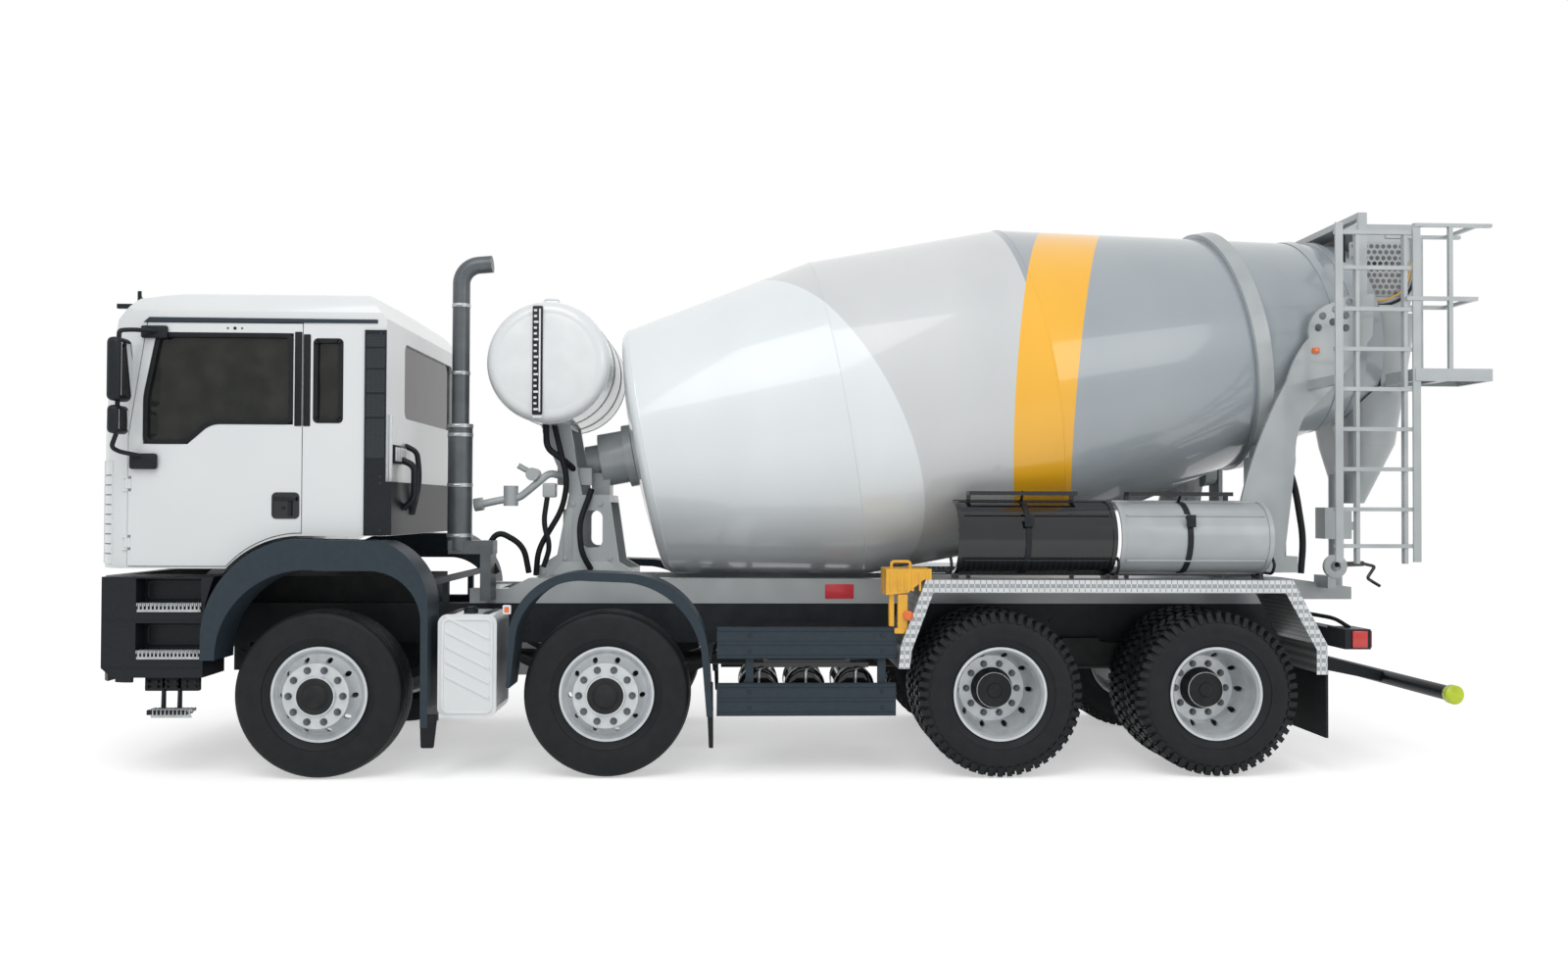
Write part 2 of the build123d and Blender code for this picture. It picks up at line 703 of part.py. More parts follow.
# rack of black tube that holds the spare chutes on the mudguard
with BuildPart() as chute_rack:
    for front, back in ((4120.0, 4830.0), (5170.0, 5860.0)):
        with Locations(at((front + back) / 2, chute_y - 60, 1815)):
            Box(back - front, 26, 26)
        for run in (front + 13, back - 13):
            with Locations(at(run, chute_y - 20, 1815)):
                Box(26, 106, 26)
            with Locations(at(run, chute_y + 25, (mudguard_top + 1815) / 2)):
                Box(26, 26, 1815 - mudguard_top)
    with Locations(at(5046, chute_y + 25, 1290)):
        Box(2036, 26, 26)
    for run in (4041.0, 5035.0, 5090.0, 6051.0):
        cradle_top = chute_z - chute_radius - band_height - seat_gap
        with Locations(at(run, chute_y, (mudguard_top + cradle_top) / 2)):
            Box(28, 120, cradle_top - mudguard_top)
chute_rack.part.label = "chute_rack"
export_step(chute_rack.part, "parts/chute_rack.step")

# rear underrun tube and lamp bar on arms from the frame's end
with BuildPart() as rear_underrun:
    for hand in (-1, 1):
        with BuildSketch(side(hand * 400)):
            with BuildLine():
                Polyline(
                    (frame_rear_run, 800), (frame_rear_run, 940), (6640, 940), (6700, 700),
                    (7227, 565), (7227, 495), (6600, 620), (6560, 800), close=True,
                )
            make_face()
        extrude(amount=35, both=True)
    with BuildSketch(side(1210)):
        with Locations((7227, 530)):
            Circle(48)
    extrude(amount=2420)
    with Locations(at(6610, 0, 875)):
        Box(110, 2 * 1160, 110)
    for hand in (-1, 1):
        with Locations(at(6640, hand * 1050, 877)):
            Box(170, 240, 130)
rear_underrun.part.label = "rear_underrun"
export_step(rear_underrun.part, "parts/rear_underrun.step")

# wheel chocks in their holder in front of the tandem
with BuildPart() as wheel_chocks:
    for y in (-1185.0, -1010.0):
        with BuildSketch(side(y)):
            with BuildLine():
                Polyline(
                    (3560, 1165), (3700, 1180), (3800, mudguard_top), (3850, mudguard_top),
                    (3850, 1330), (3560, 1330), close=True,
                )
            make_face()
        extrude(amount=55, both=True)
    with Locations(at(3675, -1100, 1322)):
        Box(230, 200, 16)
    with Locations(at(3600, -1180, 1083)):
        Box(30, 60, 236)
wheel_chocks.part.label = "wheel_chocks"
export_step(wheel_chocks.part, "parts/wheel_chocks.step")

# steered axle beams on their leaf springs
spring_y = 395.0
eye_z = 515.0
eye_height = 90.0
eye_radius = 38.0
pin_radius = 25.0
with BuildPart() as front_axles:
    for axle_run in (first_axle_run, second_axle_run):
        with BuildSketch(across(axle_run)):
            with BuildLine():
                Polyline(
                    (-845, 560), (-700, 560), (-560, 440), (560, 440), (700, 560), (845, 560),
                    (845, 470), (720, 470), (590, 340), (-590, 340), (-720, 470), (-845, 470), close=True,
                )
            make_face()
        extrude(amount=50, both=True)
        with Locations(at(axle_run, 0, eye_z)):
            Box(60, 2 * king_pin_y, eye_height)
        with Locations(at(axle_run, -king_pin_y, eye_z), at(axle_run, king_pin_y, eye_z)):
            Cylinder(eye_radius, eye_height)
            Cylinder(pin_radius + 0.05, eye_height + 2, mode=Mode.SUBTRACT)
        for hand in (-1, 1):
            with BuildSketch(side(hand * spring_y)):
                with BuildLine():
                    ThreePointArc((axle_run - 765, 700), (axle_run, 480), (axle_run + 765, 700))
                    Line((axle_run + 765, 700), (axle_run + 765, 735))
                    ThreePointArc((axle_run + 765, 735), (axle_run, 560), (axle_run - 765, 735))
                    Line((axle_run - 765, 735), (axle_run - 765, 700))
                make_face()
            extrude(amount=45, both=True)
            with Locations(at(axle_run, hand * spring_y, 470)):
                Box(160, 110, 80)
            with Locations(at(axle_run - 740, hand * spring_y, 745), at(axle_run + 740, hand * spring_y, 745)):
                Box(70, 80, 2 * (rail_bottom - 745))
front_axles.part.label = "front_axles"
export_step(front_axles.part, "parts/front_axles.step")

# drive axles joined by the bogie springs and the shaft
twin_bore = 60.0
bogie_run = (third_axle_run + fourth_axle_run) / 2
with BuildPart() as drive_axles:
    for axle_run in (third_axle_run, fourth_axle_run):
        with BuildSketch(side(0)):
            with Locations((axle_run, tyre_radius)):
                Circle(85)
        extrude(amount=600, both=True)
        with BuildSketch(side(0)):
            with Locations((axle_run, tyre_radius)):
                Circle(twin_bore - 0.05)
        extrude(amount=880, both=True)
        with Locations(at(axle_run, 0, tyre_radius)):
            Sphere(215)
    for hand in (-1, 1):
        with BuildSketch(side(hand * 500)):
            with BuildLine():
                Line((third_axle_run - 60, 560), (third_axle_run - 60, 640))
                ThreePointArc((third_axle_run - 60, 640), (bogie_run, 800), (fourth_axle_run + 60, 640))
                Line((fourth_axle_run + 60, 640), (fourth_axle_run + 60, 560))
                ThreePointArc((fourth_axle_run + 60, 560), (bogie_run, 640), (third_axle_run - 60, 560))
            make_face()
        extrude(amount=45, both=True)
        with Locations(at(bogie_run, hand * 492.5, 760)):
            Box(260, 115, 120)
    with BuildSketch(Plane(origin=(front_axle_x + 450.8, 0, 655), x_dir=(0, 1, 0), z_dir=(3850, 0, -65))):
        Circle(45)
    extrude(amount=3850)
    with BuildSketch(across(third_axle_run)):
        with Locations((0, 590)):
            Circle(50)
    extrude(amount=fourth_axle_run - third_axle_run)
drive_axles.part.label = "drive_axles"
export_step(drive_axles.part, "parts/drive_axles.step")


# the cab's lower edge rises over the front wheel on an arc
arch_start = -600.0
arch_middle = -415.0
arch_end = -166.0
arch_sink = 65.0


def cab_block(inset):
    with BuildPart() as block:
        with BuildSketch(side(0)):
            with BuildLine():
                Line((cab_front_run + 30, cab_floor_z), (arch_start, cab_floor_z))
                ThreePointArc(
                    (arch_start, cab_floor_z), (arch_middle, cab_arch_z - arch_sink), (arch_end, cab_arch_z)
                )
                Polyline(
                    (arch_end, cab_arch_z), (cab_back_run, cab_arch_z), (cab_back_run, 2905), (232, roof_z),
                    (-900, 3066), (-1160, 3020), (-1290, gutter_z), (cab_front_run, belt_z),
                    (cab_front_run, 1450), (cab_front_run + 30, cab_floor_z),
                )
            make_face()
            if inset:
                offset(amount=-inset, kind=Kind.INTERSECTION)
        extrude(amount=cab_half_width + 50, both=True)
        with BuildSketch(flat(1200)):
            half = cab_half_width - inset
            front = cab_front_run + inset
            back = cab_back_run - inset
            bend = 300 - inset
            turn = bend * (1 - 0.5**0.5)
            with BuildLine():
                Line((back, -half), (front + bend, -half))
                ThreePointArc((front + bend, -half), (front + turn, -half + turn), (front, -half + bend))
                Line((front, -half + bend), (front, half - bend))
                ThreePointArc((front, half - bend), (front + turn, half - turn), (front + bend, half))
                Line((front + bend, half), (back, half))
                Line((back, half), (back, -half))
            make_face()
        extrude(amount=2000, mode=Mode.INTERSECT)
        with BuildSketch(across(cab_front_run - 20)):
            with BuildLine():
                Polyline((-half, 1200), (half, 1200), (half, gutter_z))
                ThreePointArc((half, gutter_z), (half - 30, 3010), (half - 125, 3070 - inset))
                Line((half - 125, 3070 - inset), (0, roof_z + 8 - inset))
                Line((0, roof_z + 8 - inset), (-half + 125, 3070 - inset))
                ThreePointArc((-half + 125, 3070 - inset), (-half + 30, 3010), (-half, gutter_z))
                Line((-half, gutter_z), (-half, 1200))
            make_face()
        extrude(amount=2000, mode=Mode.INTERSECT)
    return block.part


# openings, as outlines seen from the side or from the front
door_rise = door_bottom_z - cab_floor_z
door_window = [(-1120, 2100), (-844, 2100), (-700, 2227), (-190, 2227), (-190, 2806), (-1040, 2806), (-1120, 2400)]
pane_inset = 20.0
pane_thickness = 6.0


def window_prisms(gap):
    with BuildPart() as prisms:
        with BuildSketch(across(cab_front_run - 60)):
            with Locations((0, 2445)):
                RectangleRounded(1920 - 2 * gap, 700 - 2 * gap, 60)
        extrude(amount=320)
        with BuildSketch(across(cab_back_run - 80)):
            with Locations((0, 2550)):
                RectangleRounded(1380 - 2 * gap, 500 - 2 * gap, 60)
        extrude(amount=120)
        with BuildSketch(side(0)):
            with Locations((27, 2507)):
                RectangleRounded(188 - 2 * gap, 538 - 2 * gap, 30)
        extrude(amount=1200, both=True)
        with Locations(at(27, 0, 2507)):
            Box(400, 1900, 700, mode=Mode.SUBTRACT)
    return prisms.part


def door_prism(hand, gap):
    with BuildPart() as prism:
        with BuildSketch(side(0)):
            with BuildLine():
                Line((door_front_run, door_bottom_z), (arch_start, door_bottom_z))
                ThreePointArc(
                    (arch_start, door_bottom_z), (arch_middle, cab_arch_z - arch_sink + door_rise + 2),
                    (arch_end, cab_arch_z + door_rise + 4),
                )
                Polyline(
                    (arch_end, cab_arch_z + door_rise + 4), (door_back_run, cab_arch_z + door_rise + 4),
                    (door_back_run, door_top_z), (-1095, door_top_z), (door_front_run, 2120),
                    (door_front_run, door_bottom_z),
                )
            make_face()
            if gap:
                offset(amount=gap, kind=Kind.INTERSECTION)
        extrude(amount=-hand * 1300)
        with BuildSketch(flat(1200)):
            with BuildLine():
                lead = door_front_run - 1.5 * gap
                inner = cab_half_width - cab_wall - gap / 2
                Polyline(
                    (lead, hand * 1300), (lead, hand * cab_half_width), (lead + cab_wall, hand * inner),
                    (door_back_run + gap, hand * inner), (door_back_run + gap, hand * 1300), close=True,
                )
            make_face()
        extrude(amount=1800, mode=Mode.INTERSECT)
    return prism.part


outer_block = cab_block(0)
cavity = cab_block(cab_wall)
pane_layer = cab_block(pane_inset) - cab_block(pane_inset + pane_thickness)

with BuildPart() as cab_walls:
    add(outer_block)
    add(cavity, mode=Mode.SUBTRACT)
    add(window_prisms(0), mode=Mode.SUBTRACT)
    with BuildSketch(side(0)):
        with BuildLine():
            Polyline(*door_window, close=True)
        make_face()
    extrude(amount=1300, both=True, mode=Mode.SUBTRACT)

hinge_run = door_front_run - 1
hinge_y = cab_half_width + 1
hinge_pin_radius = 5.0
hinge_barrel_radius = 11.0
hinge_heights = [1480.0, 1850.0]
hinge_height = 60.0
hinge_lug = 12.0

with BuildPart() as cab_shell:
    add(cab_walls.part)
    add(door_prism(-1, move_gap), mode=Mode.SUBTRACT)
    add(door_prism(1, move_gap), mode=Mode.SUBTRACT)
    # hinge pins with their lugs on the pillars, in notches that clear the door's barrels
    for hand in (-1, 1):
        for z in hinge_heights:
            with Locations(at(hinge_run, hand * hinge_y, z)):
                Cylinder(hinge_barrel_radius + 3, hinge_height + 4, mode=Mode.SUBTRACT)
                Cylinder(hinge_pin_radius, hinge_height + 30)
            for step in (-1, 1):
                with Locations(at(hinge_run - 11, hand * (hinge_y - 5), z + step * (hinge_height / 2 + 9))):
                    Box(34, 20, hinge_lug)
    for hand in (-1, 1):
        with BuildSketch(side(hand * tilt_lug_y)):
            with BuildLine():
                Polyline(
                    (tilt_run - 20, tilt_z + 26), (tilt_arm_run - 50, cab_floor_z + 20),
                    (tilt_arm_run + 50, cab_floor_z + 20), (tilt_run + 20, tilt_z - 26), close=True,
                )
            make_face()
            with Locations((tilt_run, tilt_z)):
                Circle(35)
        extrude(amount=20, both=True)
        with BuildSketch(side(hand * tilt_lug_y)):
            with Locations((tilt_run, tilt_z)):
                Circle(tilt_pin_radius + 0.05)
        extrude(amount=30, both=True, mode=Mode.SUBTRACT)
cab_shell.part.label = "cab_shell"
export_step(cab_shell.part, "parts/cab_shell.step")

with BuildPart() as cab_windows:
    add(pane_layer)
    add(window_prisms(seat_gap), mode=Mode.INTERSECT)
cab_windows.part.label = "cab_windows"
export_step(cab_windows.part, "parts/cab_windows.step")

for label, hand in (("left_door", -1), ("right_door", 1)):
    with BuildPart() as door:
        add(cab_walls.part)
        add(door_prism(hand, 0), mode=Mode.INTERSECT)
        for z in hinge_heights:
            for step in (-1, 1):
                with Locations(at(hinge_run, hand * hinge_y, z + step * (hinge_height / 2 + 9))):
                    Cylinder(24, hinge_lug + 6, mode=Mode.SUBTRACT)
            with Locations(at(hinge_run, hand * hinge_y, z)):
                Cylinder(hinge_barrel_radius, hinge_height)
            with Locations(at(hinge_run + 12, hand * (hinge_y - 4), z)):
                Box(24, 14, hinge_height)
            with Locations(at(hinge_run, hand * hinge_y, z)):
                Cylinder(hinge_pin_radius + 0.05, hinge_height + 2, mode=Mode.SUBTRACT)
    door.part.label = label
    export_step(door.part, f"parts/{label}.step")

    with BuildPart() as door_glass:
        add(pane_layer)
        with BuildSketch(side(0)):
            with BuildLine():
                Polyline(*door_window, close=True)
            make_face()
            offset(amount=-seat_gap, kind=Kind.INTERSECTION)
        extrude(amount=-hand * 1300, mode=Mode.INTERSECT)
    door_glass.part.label = f"{label}_glass"
    export_step(door_glass.part, f"parts/{label}_glass.step")

    # mirrors on their arms, fixed to the door's front edge
    with BuildPart() as mirrors:
        with Locations(at(-1185, hand * 1290, 2548)):
            Box(90, 180, 400)
        with Locations(at(-1190, hand * 1290, 2240)):
            Box(75, 170, 180)
        with Locations(at(-1190, hand * 1290, 2340)):
            Box(30, 30, 60)
        with BuildSketch(flat(2775)):
            with BuildLine():
                Polyline(
                    (-1020, hand * 1120.3), (-960, hand * 1120.3), (-1160, hand * 1330), (-1210, hand * 1330),
                    close=True,
                )
            make_face()
        extrude(amount=35)
        with Locations(at(-1185, hand * 1300, 2760)):
            Box(40, 40, 60)
        with BuildSketch(flat(1960)):
            with BuildLine():
                Polyline(
                    (-1190, hand * 1120.3), (-1020, hand * 1120.3), (-1160, hand * 1310), (-1220, hand * 1310),
                    close=True,
                )
            make_face()
        extrude(amount=70)
        with Locations(at(-1190, hand * 1290, 2090)):
            Box(30, 30, 160)
    mirrors.part.label = f"{label}_mirrors"
    export_step(mirrors.part, f"parts/{label}_mirrors.step")

# visor, side strips with their grilles and the dark panel across the back, in black
with BuildPart() as cab_trim:
    strip_front = 257.0
    for hand in (-1, 1):
        with Locations(at((strip_front + cab_back_run) / 2, hand * (cab_half_width + 6), 2180)):
            Box(cab_back_run - strip_front, 12, 1300)
    with Locations(at(cab_back_run + 20, 0, 1700)):
        Box(40, 2 * (cab_half_width + 12), 340)
    with BuildSketch(flat(2920)):
        with BuildLine():
            ThreePointArc((-1180, -1080), (-1440, 0), (-1180, 1080))
            Line((-1180, 1080), (-1155, 1080))
            ThreePointArc((-1155, 1080), (-1420, 0), (-1155, -1080))
            Line((-1155, -1080), (-1180, -1080))
        make_face()
    extrude(amount=150)
    for y in (-900, 0, 900):
        with Locations(at(-1290, y, 3000)):
            Box(290 if y == 0 else 200, 30, 30)
    add(outer_block, mode=Mode.SUBTRACT)
cab_trim.part.label = "cab_trim"
export_step(cab_trim.part, "parts/cab_trim.step")

# dashboard, engine tunnel and steering wheel
with BuildPart() as cab_interior:
    with BuildSketch(side(0)):
        with BuildLine():
            Polyline((-1390, 1500), (-1100, 1560), (-1040, 1900), (-1140, 2060), (-1390, 2060), close=True)
        make_face()
    extrude(amount=1040, both=True)
    with Locations(at(-560, 0, (cab_floor_z + 1800) / 2)):
        Box(1200, 620, 1800 - cab_floor_z)
    add(cavity, mode=Mode.INTERSECT)
    wheel_plane = Plane(origin=(front_axle_x - 900, -560, 2120), x_dir=(0, 1, 0), z_dir=(0.55, 0, 1))
    with BuildSketch(Plane(origin=wheel_plane.from_local_coords((225, 0, 0)), x_dir=(0, 1, 0), z_dir=(1, 0, -0.55))):
        Circle(14)
    revolve(axis=Axis(wheel_plane.origin, wheel_plane.z_dir))
    with BuildSketch(wheel_plane):
        Rectangle(450, 40)
    extrude(amount=10, both=True)
    with BuildSketch(wheel_plane):
        Circle(40)
    extrude(amount=-330)
cab_interior.part.label = "cab_interior"
export_step(cab_interior.part, "parts/cab_interior.step")

with BuildPart() as seats:
    for hand in (-1, 1):
        with Locations(at(-330, hand * 600, 1700)):
            Box(420, 420, 240)
        with Locations(at(-330, hand * 600, 1880)):
            Box(520, 500, 130)
        with BuildSketch(side(hand * 600)):
            with BuildLine():
                Polyline((-150, 1930), (-40, 1930), (60, 2760), (-20, 2760), close=True)
            make_face()
        extrude(amount=240, both=True)
    with Locations(at(-330, 0, 1812)):
        Box(300, 1300, 24)
    add(cavity, mode=Mode.INTERSECT)
seats.part.label = "seats"
export_step(seats.part, "parts/seats.step")

# wheels and knuckles
steered_bore = 45.0
tyre_profile = [(156, 425), (150, 480), (128, 518)]


def wheel_plane_at(run, hand, y):
    return Plane(origin=(front_axle_x + run, hand * y, tyre_radius), x_dir=(0, hand, 0), z_dir=(hand, 0, 0))


def tyre_ring(run, hand, y):
    with BuildPart() as ring:
        with BuildSketch(wheel_plane_at(run, hand, y)):
            with BuildLine():
                Polyline((112, 304), (110, bead_radius), (-110, bead_radius), (-112, 304))
                ThreePointArc((-112, 304), (-143, 350), (-tyre_half_width, 425))
                ThreePointArc((-tyre_half_width, 425), (-150, 482), (-tread_half_width, 518))
                ThreePointArc((-tread_half_width, 518), (0, tyre_radius), (tread_half_width, 518))
                ThreePointArc((tread_half_width, 518), (150, 482), (tyre_half_width, 425))
                ThreePointArc((tyre_half_width, 425), (143, 350), (112, 304))
            make_face()
        revolve(axis=Axis((front_axle_x + run, 0, tyre_radius), (0, 1, 0)))
    return ring.part


# columns: outward distance from the tyre's middle, radius
steered_rim = [
    (124, 300), (124, 284), (102, 270), (90, 262), (110, 245), (187, 205), (187, 128), (205, 122),
    (205, 0), (140, 0), (140, steered_bore), (-36, steered_bore), (-36, 110), (172, 110), (172, 192),
    (95, 232), (70, 252), (-95, 268), (-124, 280), (-124, 300), (-112.5, 300), (-112.5, 289.5),
    (112.5, 289.5), (112.5, 300),
]
twin_rim = [
    (124, 300), (112.5, 300), (112.5, 289.5), (-112.5, 289.5), (-112.5, 300), (-124, 300), (-124, 280),
    (-78, 270), (-122, 240), (-172, 226), (-172, 100), (-158, 100), (-158, 214), (-112, 228),
    (-50, 262), (100, 270), (124, 284),
]
twin_hub = [(-60, 0), (-60, 115), (-434, 115), (-434, twin_bore), (-190, twin_bore), (-190, 0)]
twin_spacing = outer_twin_y - inner_twin_y

for axle, run in (("first", first_axle_run), ("second", second_axle_run)):
    for place, hand in (("left", -1), ("right", 1)):
        spin = Axis((front_axle_x + run, 0, tyre_radius), (0, 1, 0))
        with BuildPart() as tyre:
            add(tyre_ring(run, hand, steered_track_y))
        tyre.part.label = f"{axle}_{place}_tyre"
        export_step(tyre.part, f"parts/{tyre.part.label}.step")

        with BuildPart() as rim:
            with BuildSketch(wheel_plane_at(run, hand, steered_track_y)):
                with BuildLine():
                    Polyline(*steered_rim, close=True)
                make_face()
            revolve(axis=spin)
            with BuildSketch(side(hand * (steered_track_y + 60))):
                with Locations((run, tyre_radius)):
                    with PolarLocations(226, 10):
                        Circle(17)
            extrude(amount=-hand * 160, mode=Mode.SUBTRACT)
        rim.part.label = f"{axle}_{place}_rim"
        export_step(rim.part, f"parts/{rim.part.label}.step")

        with BuildPart() as knuckle:
            with Locations(at(run, hand * 930, eye_z + 87), at(run, hand * 930, eye_z - 87)):
                Box(90, 115, 72)
            with Locations(at(run, hand * 974, eye_z)):
                Box(90, 30, 246)
            with Locations(at(run, hand * king_pin_y, eye_z)):
                Cylinder(pin_radius, 246)
            with BuildSketch(side(hand * 974)):
                with Locations((run, tyre_radius)):
                    Circle(steered_bore - 0.05)
            extrude(amount=-hand * 190)
        knuckle.part.label = f"{axle}_{place}_knuckle"
        export_step(knuckle.part, f"parts/{knuckle.part.label}.step")

for axle, run in (("third", third_axle_run), ("fourth", fourth_axle_run)):
    for place, hand in (("left", -1), ("right", 1)):
        spin = Axis((front_axle_x + run, 0, tyre_radius), (0, 1, 0))
        with BuildPart() as tyres:
            add(tyre_ring(run, hand, outer_twin_y))
            add(tyre_ring(run, hand, inner_twin_y))
        tyres.part.label = f"{axle}_{place}_tyres"
        export_step(tyres.part, f"parts/{tyres.part.label}.step")

        with BuildPart() as rims:
            with BuildSketch(wheel_plane_at(run, hand, outer_twin_y)):
                with BuildLine():
                    Polyline(*twin_rim, close=True)
                make_face()
                with BuildLine():
                    Polyline(*[(-twin_spacing - out, radius) for out, radius in twin_rim], close=True)
                make_face()
                with BuildLine():
                    Polyline(*twin_hub, close=True)
                make_face()
            revolve(axis=spin)
            with BuildSketch(side(hand * (outer_twin_y - 330))):
                with Locations((run, tyre_radius)):
                    with PolarLocations(236, 10):
                        Circle(18)
            extrude(amount=-hand * 310, mode=Mode.SUBTRACT)
        rims.part.label = f"{axle}_{place}_rims"
        export_step(rims.part, f"parts/{rims.part.label}.step")
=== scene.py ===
import json
import math
import bpy
import bmesh
from mathutils import Matrix, Vector


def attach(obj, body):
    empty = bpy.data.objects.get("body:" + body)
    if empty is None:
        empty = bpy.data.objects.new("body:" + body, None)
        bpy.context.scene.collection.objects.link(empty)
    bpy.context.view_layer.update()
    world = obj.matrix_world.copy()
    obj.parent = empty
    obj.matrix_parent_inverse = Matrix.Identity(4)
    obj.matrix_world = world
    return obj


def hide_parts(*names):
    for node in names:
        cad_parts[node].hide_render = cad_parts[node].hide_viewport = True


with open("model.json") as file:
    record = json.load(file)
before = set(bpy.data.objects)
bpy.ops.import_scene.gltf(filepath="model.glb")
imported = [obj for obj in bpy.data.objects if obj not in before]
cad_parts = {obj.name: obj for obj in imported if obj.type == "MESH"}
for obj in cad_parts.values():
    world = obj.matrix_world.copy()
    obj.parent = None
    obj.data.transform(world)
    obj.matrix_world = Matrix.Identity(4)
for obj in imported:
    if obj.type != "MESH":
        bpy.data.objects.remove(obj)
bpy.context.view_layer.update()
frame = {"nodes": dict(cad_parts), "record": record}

nodes = frame["nodes"]
print("frame loaded", len(nodes))

# camera worked out from the wheels and the cab in the photo
camData = bpy.data.cameras.new("camera")
camData.lens = 28.38
camData.sensor_width = 36
camData.clip_end = 200
camera = bpy.data.objects.new("camera", camData)
bpy.context.scene.collection.objects.link(camera)
camera.matrix_world = (
    Matrix.Translation((-0.4228, -9.0386, 1.7133))
    @ Matrix.Rotation(math.radians(-2.268), 4, "Z")
    @ Matrix.Rotation(math.radians(90.834), 4, "X")
    @ Matrix.Rotation(math.radians(0.229), 4, "Z")
)
bpy.context.scene.camera = camera


def makeMaterial(name):
    mat = bpy.data.materials.new(name)
    mat.use_nodes = True
    tree = mat.node_tree
    shader = tree.nodes["Principled BSDF"]
    return mat, tree, shader


def addNode(tree, kind, **values):
    node = tree.nodes.new(kind)
    for key, value in values.items():
        setattr(node, key, value)
    return node


def mixColor(tree, factor, first, second):
    mix = addNode(tree, "ShaderNodeMix", data_type="RGBA")
    for socket, value in ((mix.inputs[0], factor), (mix.inputs[6], first), (mix.inputs[7], second)):
        if hasattr(value, "links"):
            tree.links.new(value, socket)
        else:
            socket.default_value = value
    return mix.outputs[2]


def noiseRamp(tree, scale, low, high, detail=6.0, stretch=(1, 1, 1)):
    coords = addNode(tree, "ShaderNodeTexCoord")
    mapping = addNode(tree, "ShaderNodeMapping")
    mapping.inputs["Scale"].default_value = stretch
    noise = addNode(tree, "ShaderNodeTexNoise")
    noise.inputs["Scale"].default_value = scale
    noise.inputs["Detail"].default_value = detail
    ramp = addNode(tree, "ShaderNodeMapRange")
    ramp.inputs["From Min"].default_value = low
    ramp.inputs["From Max"].default_value = high
    tree.links.new(coords.outputs["Object"], mapping.inputs["Vector"])
    tree.links.new(mapping.outputs["Vector"], noise.inputs["Vector"])
    tree.links.new(noise.outputs["Fac"], ramp.inputs["Value"])
    return ramp.outputs["Result"]


def addBump(tree, shader, height, strength, distance):
    bump = addNode(tree, "ShaderNodeBump")
    bump.inputs["Strength"].default_value = strength
    bump.inputs["Distance"].default_value = distance
    tree.links.new(height, bump.inputs["Height"])
    tree.links.new(bump.outputs["Normal"], shader.inputs["Normal"])


